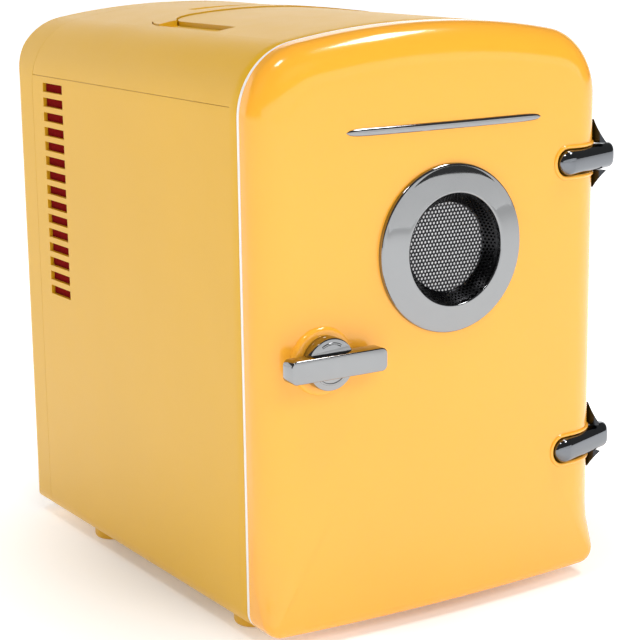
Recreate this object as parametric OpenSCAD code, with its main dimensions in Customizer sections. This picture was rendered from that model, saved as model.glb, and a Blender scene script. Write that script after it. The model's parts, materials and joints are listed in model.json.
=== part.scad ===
/* [Cabinet] */
// Width of the cabinet and the door
body_w = 185; // [170:1:225]
// Height of the cabinet at the crown of its arch, without the feet
body_h = 263; // [245:1:320]
// Depth of the cabinet, without the door
body_d = 228; // [215:1:280]
// Radius of the two top corners
corner_r = 32; // [24:1:40]
// Radius of the arched top
arch_r = 366; // [300:2:500]
// Radius of the two bottom corners
base_r = 8.5; // [7:0.5:12]
// Thickness of the moulded shells
wall = 2.5; // [2:0.1:3]
// Rise of the seam under the top cover above the spring of the top corners
seam_rise = 5.03; // [1:0.01:5.5]
// Depth of the front frame
frame_d = 6; // [4:0.5:9]
// Depth of the back cover
cover_d = 22; // [18:1:28]
// Depth of the rear machine bay
bay_d = 72; // [70:1:80]
// Height of the feet
foot_h = 6; // [4:0.5:10]
// Radius of a foot
foot_r = 9; // [7:0.5:11]

/* [Door] */
// Thickness of the door at its edge
door_t = 16.2; // [15:0.2:22]
// Rise of the crowned door face at its middle
door_crown = 5; // [3:0.5:7]
// Radius of the door's side and top edges
door_edge_r = 12; // [8:0.5:14]
// Gap that the gasket fills
gasket_t = 2; // [1.5:0.1:3]

/* [Speaker] */
// Distance of the speaker's centre below the highest point of the door
speaker_drop = 98; // [88:1:113]
// Outer radius of the chrome ring
ring_r = 37.8; // [34:0.2:42]
// Inner radius of the chrome ring
ring_in_r = 25; // [22:0.2:27]
// Depth of the dished grille
grille_d = 9; // [6:0.5:10]

/* [Latch] */
// Distance of the latch from the door's left edge
latch_in = 27.7; // [26.5:0.1:34]
// Height of the latch above the cabinet's underside
latch_z = 123; // [100:1:123]
// Radius of the latch disc
latch_r = 11.6; // [9:0.1:12]
// Length of the handle bar on its short side
bar_short = 23; // [18:0.5:23]
// Length of the handle bar on its long side
bar_long = 25; // [22:0.5:30]
// Height of the handle bar
bar_h = 10.2; // [8:0.2:11]

/* [Hinges] */
// Height of the lower hinge above the cabinet's underside
hinge_z = 60.5; // [55:0.5:70]
// Distance of the upper hinge below the highest point of the door
hinge_drop = 66.5; // [62.5:0.5:77.5]
// Distance of the hinge axis outside the door's edge
hinge_off = 6.5; // [6.5:0.1:8]
// Height of a hinge arm
arm_h = 12; // [10:0.5:13]
// Radius of a hinge pin
pin_r = 1.25; // [1:0.05:1.4]

/* [Carry handle] */
// Width of the carry handle
bail_w = 126; // [110:1:126]
// Length of the carry handle from its pivots to its back edge
bail_l = 76; // [65:1:80]
// Distance of the handle's pivots behind the front of the cabinet
bail_y = 72; // [65:1:76]

/* [Louvres] */
// Number of slots on each side
slot_n = 15; // [10:1:15]
// Distance from slot to slot
slot_pitch = 7.36; // [6.8:0.02:7.4]
// Height of one slot
slot_h = 4.5; // [3.5:0.1:5]
// Length of one slot
slot_l = 22.5; // [18:0.5:24]

/* [Hidden] */
$fn = 96;
e = 0.01;
fit = 0.3;                 // clearance between pieces that are fixed side by side
run = 0.05;                // radial clearance of a turning pin
hw = body_w / 2;
corner_x = hw - corner_r;
arch_z = body_h - arch_r;
corner_z = arch_z + sqrt(pow(arch_r - corner_r, 2) - corner_x * corner_x);
seam_z = corner_z + seam_rise;
back_y = body_d;
shell_end = back_y - cover_d;
bay_y = back_y - bay_d;
seam_gap = 0.2;

// Inner box
liner_t = 1.5;
liner_hw = hw - 19.5;
liner_z0 = 22;
liner_z1 = body_h - 31;
liner_r = 10;
liner_back = bay_y - 22;

// Door planes
door_back = -gasket_t;
door_face = -gasket_t - door_t;
face_mid = door_face - door_crown;
crown_r = (hw * hw + door_crown * door_crown) / (2 * door_crown);
door_in = 2.6;             // wall of the door shell
door_liner_t = 1.8;

// Hinges
axis_x = hw + hinge_off;
axis_y = -9.5;
hinge_zs = [hinge_z, body_h - hinge_drop];
knuckle_r = 5.4;
nose_r = 6;
arm_x0 = hw - 31;
arm_x1 = axis_x + knuckle_r;
arm_y = door_face - 1.6;   // middle of the arm's bar
flare_top = 20.5;
flare_neck = arm_h / 2 + 0.4;
neck_out = 2.6;
seat_y = [6, 27];

// Latch
latch_x = -hw + latch_in;
latch_face = door_face - 2.6;
boss_r = latch_r + 3.4;
boss_h = 1.5;
spindle_r = 3;
bar_t = 7.8;
bar_front = latch_face - 13;
cam_l = 18;

// Speaker
speaker_z = body_h - speaker_drop;
ring_face = face_mid - 3;
bore_r = ring_in_r + 3;

// Carry handle
bail_hw = bail_w / 2;
leg_w = 9;
bar_w = 13.5;
bail_end = bail_y + bail_l;
bail_corner = 26;
leg_sink = 2;
pivot_z = top_z(bail_hw - leg_w / 2) - (leg_sink + 7.6) / 2;
slot_floor = pivot_z - 4.6;
bail_pin_r = 1.5;

// Louvres
slot_y = back_y - 46;
slot_top = seam_z - 3.3;

// Machine bay
mid_z = (liner_z0 + liner_z1) / 2 + 15;
fan_s = 80;
fan_t = 15;
sink_w = 84;
sink_base = 4;
sink_fin = 18;
module_t = 3.8;
module_s = 40;
plate_w = 88;
plate_h = 110;
plate_t = 3;
sink_y = bay_y + module_t + 0.2;
fan_y = sink_y + sink_base + sink_fin + 0.5;
io_z = 32;
io = [-52, -18, 38];       // places of the mains inlet, the low-voltage jack and the switch

// Whole object
front_y = bar_front;
right_x = axis_x + knuckle_r;
shift = [-(right_x - hw) / 2, -(front_y + back_y) / 2, foot_h];

// Height of the arched top above a point at x
function top_z(x) = arch_z + sqrt(arch_r * arch_r - x * x);
// Forward position of the crowned door face at x
function face_y(x) = face_mid + crown_r - sqrt(crown_r * crown_r - x * x);

// ---------- shared shapes ----------

// Moves a piece from the design axes to the object's own frame
module placed() { translate(shift) children(); }

// Extrudes an outline drawn in X and Z from y0 back to y1
module slab(y0, y1) {
    translate([0, y1, 0]) rotate([90, 0, 0]) linear_extrude(y1 - y0) children();
}

// A cylinder along Y from y0 back to y1
module rod_y(x, z, r, y0, y1) {
    translate([x, y1, z]) rotate([90, 0, 0]) cylinder(r = r, h = y1 - y0);
}

// A cylinder along X from x0 to x1
module rod_x(y, z, r, x0, x1) {
    translate([x0, y, z]) rotate([0, 90, 0]) cylinder(r = r, h = x1 - x0);
}

// A box from its two corners
module block(a, b) { translate(a) cube(b - a); }

// Arched outline of the cabinet, moved inwards by inset
module outline(inset = 0) {
    arc_x = corner_x * 1.3;
    arc_z = corner_z + (corner_z - arch_z) * 0.3;
    for (s = [-1, 1]) {
        translate([s * corner_x, corner_z]) circle(corner_r - inset);
        translate([s * (hw - base_r), base_r]) circle(base_r - inset);
    }
    translate([-hw + inset, base_r]) square([body_w - 2 * inset, corner_z - base_r]);
    translate([-hw + base_r, inset]) square([body_w - 2 * base_r, corner_z - inset]);
    intersection() {
        translate([0, arch_z]) circle(arch_r - inset, $fn = 720);
        polygon([[corner_x, corner_z], [arc_x, arc_z], [-arc_x, arc_z], [-corner_x, corner_z]]);
    }
}

// Rounded rectangle between two corners, in X and Z
module round_rect(x0, x1, z0, z1, r) {
    translate([x0 + r, z0]) square([x1 - x0 - 2 * r, z1 - z0]);
    translate([x0, z0 + r]) square([x1 - x0, z1 - z0 - 2 * r]);
    for (x = [x0 + r, x1 - r], z = [z0 + r, z1 - r]) translate([x, z]) circle(r);
}

// ---------- cabinet ----------

// Fifteen slots through both sides
module louvre_cuts() {
    for (i = [0 : slot_n - 1])
        translate([-hw - 1, slot_y - slot_l / 2, slot_top - slot_h - i * slot_pitch])
            cube([body_w + 2, slot_l, slot_h]);
}

// Two screw holes behind each hinge seat, through the right side
module seat_holes(r, x0, x1) {
    for (z = hinge_zs, dz = [-12, 12]) rod_x((seat_y[0] + seat_y[1]) / 2 + 4, z + dz, r, x0, x1);
}

// Side and bottom housing
module body_shell() color("goldenrod") placed() difference() {
    slab(frame_d, shell_end) difference() {
        outline();
        outline(wall);
        translate([-hw - 1, seam_z - seam_gap]) square([body_w + 2, body_h]);
    }
    louvre_cuts();
    seat_holes(1.7, hw - wall - 1, hw + 1);
}

// Pocket that the carry handle lies in, reaching down to depth z0
module bail_pocket(z0, gap) {
    h = body_h + 10 - z0;
    translate([0, 0, z0]) linear_extrude(h) difference() {
        bail_plan(gap);
        bail_plan_inner(gap);
    }
}

// Outer plan outline of the carry handle
module bail_plan(gap) {
    r = bail_corner + gap;
    for (s = [-1, 1]) translate([s * (bail_hw - bail_corner), bail_end - bail_corner]) circle(r);
    translate([-bail_hw - gap, bail_y - 6]) square([bail_w + 2 * gap, bail_l - bail_corner + 6]);
    translate([-bail_hw + bail_corner, bail_y]) square([bail_w - 2 * bail_corner, bail_l + gap]);
}

// Plan outline of the space between the handle's legs
module bail_plan_inner(gap) {
    x = bail_hw - leg_w - gap;
    y1 = bail_end - bar_w - gap;
    r = bail_corner - leg_w;
    for (s = [-1, 1]) translate([s * (x - r), y1 - r]) circle(r);
    translate([-x, bail_y - 20]) square([2 * x, y1 - r - bail_y + 20]);
    translate([-x + r, bail_y]) square([2 * (x - r), y1 - bail_y]);
}

// Crescent behind the handle for the fingers
module finger_scoop() {
    rod_x(bail_end - 4, body_h + 6, 19, -26, 26);
}

// Arched top with the recess for the carry handle
module top_cover() color("goldenrod") placed() difference() {
    union() {
        slab(frame_d, shell_end) difference() {
            outline();
            outline(wall);
            translate([-hw - 1, -1]) square([body_w + 2, seam_z + 1]);
        }
        intersection() {
            slab(bail_y - 16, bail_end + 18) outline();
            block([-bail_hw - 4, bail_y - 16, slot_floor - wall], [bail_hw + 4, bail_end + 18, body_h + 1]);
        }
    }
    bail_pocket(slot_floor, 0.6);
    for (s = [-1, 1]) rod_x(bail_y, pivot_z, bail_pin_r, s * bail_hw - 3.6, s * bail_hw + 3.6);
    intersection() {
        finger_scoop();
        block([-26, bail_end - 4, slot_floor], [26, bail_end + 14, body_h + 1]);
    }
}

// Carry handle that lies in the top cover
module carry_handle() color("goldenrod") placed() difference() {
    intersection() {
        translate([0, 0, slot_floor + 0.6]) linear_extrude(body_h) difference() {
            bail_plan(0);
            bail_plan_inner(0);
        }
        slab(bail_y - leg_w, bail_end + 1) intersection() {
            outline(-0.6);
            difference() {
                translate([-hw, arch_z + arch_r * 0.9]) square([body_w, body_h]);
                translate([0, arch_z]) circle(arch_r - 7.6, $fn = 720);
            }
        }
        union() {
            block([-hw, bail_end - bail_corner, slot_floor], [hw, bail_end + 1, body_h + 1]);
            slab(bail_y, bail_end - bail_corner + e) outline(leg_sink);
            rod_x(bail_y, pivot_z, 2.8, -hw, hw);
        }
    }
    rod_x(bail_y, pivot_z, bail_pin_r + run, -hw, hw);
}

// Two steel pins that the carry handle turns on
module handle_pins() color("silver") placed()
    for (s = [-1, 1]) {
        x0 = s > 0 ? bail_hw - leg_w + 1 : -bail_hw - 3.6;
        rod_x(bail_y, pivot_z, bail_pin_r, x0, x0 + leg_w + 2.6);
    }

// Places of the back cover's six screws
function cover_screws() = [for (x = [-hw + 12, hw - 12], z = [14, 118, 222]) [x, z]];

// Rear tray with the fan grille and the sockets
module back_cover() color("goldenrod") placed() difference() {
    intersection() {
        union() {
            slab(shell_end + seam_gap, back_y) difference() {
                outline();
                outline(wall);
            }
            slab(back_y - wall, back_y) outline();
            for (p = cover_screws()) rod_y(p[0], p[1], 4, shell_end + seam_gap, back_y - 1);
        }
        slab(shell_end, back_y + 1) outline();
        rear_rounding();
    }
    for (r = [6 : 7 : 36]) rod_ring(r, 3.6);
    for (p = cover_screws()) {
        rod_y(p[0], p[1], 1.6, shell_end - 1, back_y + 1);
        rod_y(p[0], p[1], 3.3, back_y - 2.2, back_y + 1);
    }
    block([io[0] - 11.2, back_y - wall - 1, io_z - 6.2], [io[0] + 11.2, back_y + 1, io_z + 6.2]);
    rod_y(io[1], io_z, 5.7, back_y - wall - 1, back_y + 1);
    block([io[2] - 10.7, back_y - wall - 1, io_z - 7.2], [io[2] + 10.7, back_y + 1, io_z + 7.2]);
}

// Annular slots of the fan grille, left joined by four spokes
module rod_ring(r, w) {
    difference() {
        rod_y(0, mid_z, r + w / 2, back_y - wall - 1, back_y + 1);
        rod_y(0, mid_z, r - w / 2, back_y - wall - 2, back_y + 2);
        for (a = [45, 135]) translate([0, back_y, mid_z]) rotate([0, a, 0]) cube([100, 20, 3.4], center = true);
    }
}

// Rounds the rear edges of the back cover
module rear_rounding() {
    r = 8;
    intersection() {
        union() {
            block([-hw - 1, shell_end - 1, -1], [hw + 1, back_y - r, body_h + 1]);
            block([-hw + r, shell_end - 1, -1], [hw - r, back_y, body_h + 1]);
            for (s = [-1, 1]) translate([s * (hw - r), back_y - r, -1]) cylinder(r = r, h = body_h + 2);
        }
        union() {
            block([-hw - 1, shell_end - 1, -1], [hw + 1, back_y - r, body_h + 1]);
            block([-hw - 1, shell_end - 1, r / 2], [hw + 1, back_y, body_h - r]);
            rod_x(back_y - r, body_h - r, r, -hw - 1, hw + 1);
            rod_x(back_y - r / 2, r / 2, r / 2, -hw - 1, hw + 1);
        }
    }
}

// Screws that hold the back cover
module back_cover_screws() color("silver") placed()
    for (p = cover_screws()) {
        rod_y(p[0], p[1], 3, back_y - 2.2, back_y - 0.4);
        rod_y(p[0], p[1], 1.5, shell_end + 2, back_y - 2.2 + e);
    }

// Frame round the opening, which the gasket closes on
module front_frame() color("goldenrod") placed() difference() {
    slab(0, frame_d - seam_gap) outline();
    slab(-1, frame_d + 1) round_rect(-liner_hw, liner_hw, liner_z0, liner_z1, liner_r);
    translate([0, 1.2, 0]) slab(0, frame_d)
        round_rect(-hw + 6, -hw + 16, latch_z - 14, latch_z + 14, 2);
}

// Magnet set in the frame behind the latch
module catch_magnet() color("dimgray") placed()
    slab(1.5, frame_d - 0.4) round_rect(-hw + 6.3, -hw + 15.7, latch_z - 13.7, latch_z + 13.7, 1.7);

// White box that holds the food, with two shelf ribs a side
module inner_liner() color("white") placed() difference() {
    union() {
        slab(frame_d, liner_back) difference() {
            round_rect(-liner_hw, liner_hw, liner_z0, liner_z1, liner_r);
            round_rect(-liner_hw + liner_t, liner_hw - liner_t, liner_z0 + liner_t, liner_z1 - liner_t,
                liner_r - liner_t);
        }
        slab(liner_back - liner_t, liner_back) round_rect(-liner_hw, liner_hw, liner_z0, liner_z1, liner_r);
        for (s = [-1, 1], dz = [-4, 3])
            block([min(s * (liner_hw - liner_t / 2), s * (liner_hw - 6)), frame_d + 12, shelf_z() + dz],
                [max(s * (liner_hw - liner_t / 2), s * (liner_hw - 6)), liner_back - 8, shelf_z() + dz + 3]);
    }
    block([-module_s / 2, liner_back - 5, mid_z - module_s / 2],
        [module_s / 2, liner_back + 1, mid_z + module_s / 2]);
}

function shelf_z() = (liner_z0 + liner_z1) / 2 - 2;

// Clear shelf between the ribs
module shelf() color("lightblue") placed() difference() {
    block([-liner_hw + liner_t + 0.5, frame_d + 14, shelf_z() - 0.8],
        [liner_hw - liner_t - 0.5, liner_back - 12, shelf_z() + 2.8]);
    for (x = [-45 : 15 : 45]) block([x - 4, frame_d + 26, shelf_z() - 3], [x + 4, liner_back - 24, shelf_z() + 5]);
}

// Foam between the liner and the housing
module insulation() color("beige") placed() difference() {
    slab(frame_d + 0.2, bay_y) intersection() {
        outline(wall + 0.4);
        translate([-hw, 0]) square([body_w, slot_floor - wall - 0.5]);
    }
    slab(frame_d - 1, liner_back + 0.2)
        round_rect(-liner_hw - 0.2, liner_hw + 0.2, liner_z0 - 0.2, liner_z1 + 0.2, liner_r + 0.2);
    block([-module_s / 2 - 0.3, liner_back - 1, mid_z - module_s / 2 - 0.3],
        [module_s / 2 + 0.3, bay_y + 1, mid_z + module_s / 2 + 0.3]);
    seat_holes(3.6, hw - wall - 14, hw - wall + 0.5);
}

// Cold plate inside the liner's back wall
module cold_plate() color("gainsboro") placed() union() {
    y = liner_back - liner_t;
    block([-plate_w / 2, y - plate_t, mid_z - plate_h / 2], [plate_w / 2, y, mid_z + plate_h / 2]);
    for (x = [-36 : 9 : 36]) block([x - 0.8, y - plate_t - 7, mid_z - 45], [x + 0.8, y - plate_t + e, mid_z + 45]);
}

// Aluminium block that carries the cold through the foam
module cold_block() color("silver") placed()
    block([-module_s / 2 + 0.2, liner_back - liner_t, mid_z - module_s / 2 + 0.2],
        [module_s / 2 - 0.2, bay_y, mid_z + module_s / 2 - 0.2]);

// Thermoelectric module
module peltier_module() color("whitesmoke") placed() union() {
    h = module_s / 2;
    block([-h, bay_y, mid_z - h], [h, bay_y + 0.8, mid_z + h]);
    block([-h + 1.5, bay_y + 0.8 - e, mid_z - h + 1.5], [h - 1.5, bay_y + module_t - 0.8 + e, mid_z + h - 1.5]);
    block([-h, bay_y + module_t - 0.8, mid_z - h], [h, bay_y + module_t, mid_z + h]);
}

// Finned aluminium heat sink
module heat_sink() color("silver") placed() difference() {
    union() {
        block([-sink_w / 2, sink_y, mid_z - sink_w / 2], [sink_w / 2, sink_y + sink_base, mid_z + sink_w / 2]);
        block([-module_s / 2, bay_y + module_t, mid_z - module_s / 2],
            [module_s / 2, sink_y + e, mid_z + module_s / 2]);
        for (i = [-7 : 7]) block([i * 5.8 - 0.7, sink_y + sink_base - e, mid_z - sink_w / 2],
            [i * 5.8 + 0.7, sink_y + sink_base + sink_fin, mid_z + sink_w / 2]);
    }
    for (x = [-1, 1], z = [-1, 1])
        rod_y(x * (fan_s / 2 - 4), mid_z + z * (fan_s / 2 - 4), 1.55, sink_y + sink_base + 6, fan_y);
}

// Square frame of the axial fan
module fan_frame() color("dimgray") placed() difference() {
    union() {
        difference() {
            slab(fan_y, fan_y + fan_t) round_rect(-fan_s / 2, fan_s / 2, mid_z - fan_s / 2, mid_z + fan_s / 2, 4);
            rod_y(0, mid_z, fan_s / 2 - 2, fan_y - 1, fan_y + fan_t + 1);
        }
        rod_y(0, mid_z, 13, fan_y + fan_t - 2.5, fan_y + fan_t);
        for (a = [0 : 90 : 270]) translate([0, fan_y + fan_t - 1.25, mid_z]) rotate([0, a + 45, 0])
            translate([fan_s / 4, 0, 0]) cube([fan_s / 2 - 2, 2.5, 3], center = true);
        rod_y(0, mid_z, 2.5, fan_y + 4, fan_y + fan_t);
    }
    for (x = [-1, 1], z = [-1, 1])
        rod_y(x * (fan_s / 2 - 4), mid_z + z * (fan_s / 2 - 4), 1.7, fan_y - 1, fan_y + fan_t + 1);
}

// Fan rotor with seven blades
module fan_rotor() color("black") placed() difference() {
    union() {
        rod_y(0, mid_z, 14, fan_y + 1, fan_y + fan_t - 3.2);
        for (i = [0 : 6]) translate([0, fan_y + (fan_t - 2.2) / 2, mid_z]) rotate([0, i * 360 / 7, 0])
            translate([12, 0, 0]) rotate([35, 0, 0]) translate([0, -0.7, -8]) cube([fan_s / 2 - 16, 1.4, 16]);
    }
    rod_y(0, mid_z, 2.5 + run, fan_y, fan_y + fan_t);
    rod_y(0, mid_z, 60, fan_y + fan_t - 3, fan_y + fan_t + 20);
    rod_y(0, mid_z, 60, fan_y - 20, fan_y + 0.6);
}

// Screws that hold the fan to the heat sink
module fan_screws() color("silver") placed()
    for (x = [-1, 1], z = [-1, 1]) {
        px = x * (fan_s / 2 - 4);
        pz = mid_z + z * (fan_s / 2 - 4);
        rod_y(px, pz, 2.8, fan_y + fan_t, fan_y + fan_t + 2);
        rod_y(px, pz, 1.5, sink_y + sink_base + 7, fan_y + fan_t + e);
    }

// Red filter sheets behind the louvres
module dust_filters() color("darkred") placed()
    for (s = [-1, 1]) {
        x = s > 0 ? hw - wall - 2.3 : -hw + wall + 0.3;
        z0 = slot_top - slot_n * slot_pitch - 3;
        block([x, slot_y - slot_l / 2 - 4, z0], [x + 2, slot_y + slot_l / 2 + 4, slot_top + 1.5]);
    }

// Power board on its standoffs
board_z = [14, 62];
board_y = bay_y + 8;
function board_holes() = [for (x = [-62, 62], z = [board_z[0] + 5, board_z[1] - 5]) [x, z]];
module power_board() color("seagreen") placed() difference() {
    union() {
        block([-68, board_y, board_z[0]], [68, board_y + 1.6, board_z[1]]);
        block([-50, board_y + 1.6 - e, 22], [-14, board_y + 28, 52]);
        for (x = [6, 20]) rod_y(x, 34, 6, board_y + 1.6 - e, board_y + 20);
        block([34, board_y + 1.6 - e, 24], [38, board_y + 20, 52]);
    }
    for (p = board_holes()) rod_y(p[0], p[1], 1.7, board_y - 1, board_y + 3);
}

module board_standoffs() color("gold") placed()
    for (p = board_holes()) {
        rod_y(p[0], p[1], 3, bay_y, board_y);
        rod_y(p[0], p[1], 1.6, board_y - e, board_y + 1.6 + e);
        rod_y(p[0], p[1], 2.8, board_y + 1.6, board_y + 3.4);
    }

// Two-pole mains inlet, its mouth open to the back
module ac_inlet() color("black") placed() difference() {
    union() {
        block([io[0] - 11, back_y - 20, io_z - 6], [io[0] + 11, back_y - 0.3, io_z + 6]);
        block([io[0] - 13, back_y - wall - 3, io_z - 8], [io[0] + 13, back_y - wall, io_z + 8]);
    }
    slab(back_y - 14, back_y + 1) {
        for (s = [-1, 1]) translate([io[0] + s * 4.2, io_z]) circle(4.2);
        translate([io[0] - 4.2, io_z - 4.2]) square([8.4, 8.4]);
    }
    for (s = [-1, 1]) rod_y(io[0] + s * 4.2, io_z, 1.2, back_y - 17, back_y - 13);
}

// Round low-voltage jack with its centre pin
module dc_inlet() color("black") placed() union() {
    difference() {
        union() {
            rod_y(io[1], io_z, 5.5, back_y - 16, back_y - 0.3);
            rod_y(io[1], io_z, 7.5, back_y - wall - 2.5, back_y - wall);
        }
        rod_y(io[1], io_z, 3.2, back_y - 12, back_y + 1);
    }
    rod_y(io[1], io_z, 1, back_y - 12 - e, back_y - 2);
}

// Housing of the hot, off and cold switch
module switch_housing() color("black") placed() difference() {
    union() {
        block([io[2] - 10.5, back_y - 17, io_z - 7], [io[2] + 10.5, back_y - 0.5, io_z + 7]);
        block([io[2] - 12.5, back_y - wall - 2.5, io_z - 9], [io[2] + 12.5, back_y - wall, io_z + 9]);
    }
    block([io[2] - 9, back_y - 13, io_z - 5.5], [io[2] + 9, back_y + 1, io_z + 5.5]);
    translate([io[2], back_y - 6, io_z - 20]) cylinder(r = 0.9, h = 40);
}

// Rocker that turns on its own pin
module mode_rocker() color("red") placed() union() {
    intersection() {
        translate([io[2], back_y - 6, io_z - 5]) cylinder(r = 8.4, h = 10);
        block([io[2] - 9, back_y - 10, io_z - 5], [io[2] + 9, back_y - 0.4, io_z + 5]);
    }
    translate([io[2], back_y - 6, io_z - 6.8]) cylinder(r = 0.85, h = 13.6);
}

// Four moulded feet
module feet() color("goldenrod") placed()
    for (x = [-hw + 15.5, hw - 15.5], y = [21, back_y - 63]) translate([x, y, -foot_h]) rotate_extrude()
        intersection() {
            union() {
                translate([0, 2.5]) square([foot_r, foot_h - 2.5]);
                square([foot_r - 2.5, foot_h]);
                translate([foot_r - 2.5, 2.5]) circle(2.5);
            }
            square([foot_r + 1, foot_h]);
        }

// ---------- hinges ----------

// Flared side outline of a hinge bracket above its middle, in X and Z
module flare(z) {
    a = [axis_x + neck_out, flare_neck];
    b = [hw + 0.6, flare_top];
    chord = norm(b - a);
    sag = 1.2;
    r = chord * chord / (8 * sag) + sag / 2;
    out = [b[1] - a[1], a[0] - b[0]] / chord;
    mid = (a + b) / 2;
    for (s = [1, -1]) translate([0, z]) mirror([0, s > 0 ? 0 : 1]) difference() {
        polygon([[hw, 0], [a[0], 0], a, b, [hw, flare_top]]);
        translate(mid + out * (r - sag)) circle(r, $fn = 200);
    }
}

// Bracket on the cabinet's side with two flared ears
module hinge_bracket(z) difference() {
    intersection() {
        slab(axis_y - nose_r, seat_y[1] + 3) flare(z);
        union() {
            translate([axis_x, axis_y, z - 25]) cylinder(r = nose_r, h = 50);
            block([hw + 0.5, axis_y, z - 25], [axis_x + nose_r, seat_y[1], z + 25]);
            block([hw, seat_y[0], z - 25], [hw + 0.5 + e, seat_y[1], z + 25]);
        }
    }
    translate([axis_x, axis_y, z - arm_h / 2 - fit]) cylinder(r = nose_r + 2.6, h = arm_h + 2 * fit);
    block([hw - 1, axis_y - 20, z - arm_h / 2 - fit], [axis_x + 20, axis_y, z + arm_h / 2 + fit]);
    translate([axis_x, axis_y, z - 11]) cylinder(r = pin_r, h = 22);
    for (dz = [-12, 12]) rod_x((seat_y[0] + seat_y[1]) / 2 + 4, z + dz, 1.25, hw - 1, hw + 3.2);
}

module hinge_bracket_upper() color("silver") placed() hinge_bracket(hinge_zs[1]);
module hinge_bracket_lower() color("silver") placed() hinge_bracket(hinge_zs[0]);

module hinge_pin(z) translate([axis_x, axis_y, z - 10.9]) cylinder(r = pin_r, h = 21.8);

module hinge_pin_upper() color("gray") placed() hinge_pin(hinge_zs[1]);
module hinge_pin_lower() color("gray") placed() hinge_pin(hinge_zs[0]);

// Screws from inside the cabinet into the brackets
module bracket_screws() color("silver") placed()
    for (z = hinge_zs, dz = [-12, 12]) {
        y = (seat_y[0] + seat_y[1]) / 2 + 4;
        rod_x(y, z + dz, 1.2, hw - wall - e, hw + 3);
        rod_x(y, z + dz, 3, hw - wall - 2, hw - wall);
    }

// Places of the two screws in each hinge arm
function arm_screw_x() = [arm_x0 + 9, arm_x0 + 19];

// Round bar on the door face that wraps round its edge to the knuckle
module hinge_arm(z) difference() {
    r = arm_h / 2;
    intersection() {
        union() {
            translate([0, arm_y, z]) {
                translate([arm_x0 + r, 0, 0]) sphere(r);
                rod_x(0, 0, r, arm_x0 + r, arm_x1 - 1);
                block([arm_x0 + r, 0, -r], [arm_x1, 5, r]);
            }
            translate([axis_x, axis_y, z - r]) cylinder(r = knuckle_r, h = arm_h);
            block([hw - 4, arm_y, z - r], [arm_x1, axis_y, z + r]);
        }
        block([0, -100, z - r], [arm_x1, 100, z + r]);
        union() {
            block([arm_x0 - 1, -100, z - r - 1], [hw - 4, arm_y + 4.4, z + r + 1]);
            block([hw - 4 - e, -100, z - r - 1], [arm_x1, axis_y + knuckle_r, z + r + 1]);
        }
        union() {
            block([0, -100, z - r], [arm_x1 - 4, 100, z + r]);
            translate([arm_x1 - 4, arm_y - r + 4, z - r]) cylinder(r = 4, h = arm_h);
            block([0, arm_y - r + 4, z - r], [arm_x1, 100, z + r]);
        }
    }
    translate([axis_x, axis_y, z - 20]) cylinder(r = pin_r + run, h = 40);
    for (x = arm_screw_x()) rod_y(x, z, 1.25, arm_y - 2, arm_y + 10);
}

module hinge_arm_upper() color("silver") placed() hinge_arm(hinge_zs[1]);
module hinge_arm_lower() color("silver") placed() hinge_arm(hinge_zs[0]);

// Screws from inside the door into the arms
module arm_screws() color("gray") placed()
    for (z = hinge_zs, x = arm_screw_x()) {
        rod_y(x, z, 1.2, arm_y - 1.8, arm_seat() + door_in + e);
        rod_y(x, z, 2.6, arm_seat() + door_in, arm_seat() + door_in + 1.8);
    }

// Back plane of the channel that a hinge arm lies in
function arm_seat() = arm_y + 4.4 + 0.2;

// ---------- door ----------

// Solid with the door's crowned face and rounded edges, moved inwards by inset
module door_solid(y0, y1, inset) {
    r = max(door_edge_r - inset, 2);
    x = hw - inset;
    f = door_face + inset;
    intersection() {
        slab(y0, y1) outline(inset);
        union() {
            block([-x, f + r, -1], [x, y1 + 1, body_h + 1]);
            block([-x + r, f, -1], [x - r, y1 + 1, body_h + 1]);
            for (s = [-1, 1]) translate([s * (x - r), f + r, -1]) cylinder(r = r, h = body_h + 2);
            intersection() {
                translate([0, face_mid + crown_r + inset, -1]) cylinder(r = crown_r, h = body_h + 2, $fn = 720);
                block([-x + r * 0.6, y0, -1], [x - r * 0.6, f + r, body_h + 2]);
            }
        }
        union() {
            block([-hw - 1, f + r, -1], [hw + 1, y1 + 1, body_h + 1]);
            block([-hw - 1, y0 - 1, r / 2], [hw + 1, y1 + 1, body_h - r - inset]);
            rod_x(f + r, body_h - r - inset, r + door_crown, -hw - 1, hw + 1);
            rod_x(f + r / 2, r / 2, r / 2 + door_crown, -hw - 1, hw + 1);
        }
    }
}

// Channel in the door's face and edge for one hinge arm
module arm_channel(z, grow) {
    r = arm_h / 2 + 0.6 + grow;
    rod_y(arm_x0 + arm_h / 2, z, r, face_mid - 1, arm_seat() + grow);
    block([arm_x0 + arm_h / 2, face_mid - 1, z - r], [hw + 9, arm_seat() + grow, z + r]);
    block([hw - 4.4 - grow, face_mid - 1, z - r], [hw + 9, axis_y + knuckle_r + 0.8 + grow, z + r]);
}

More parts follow.
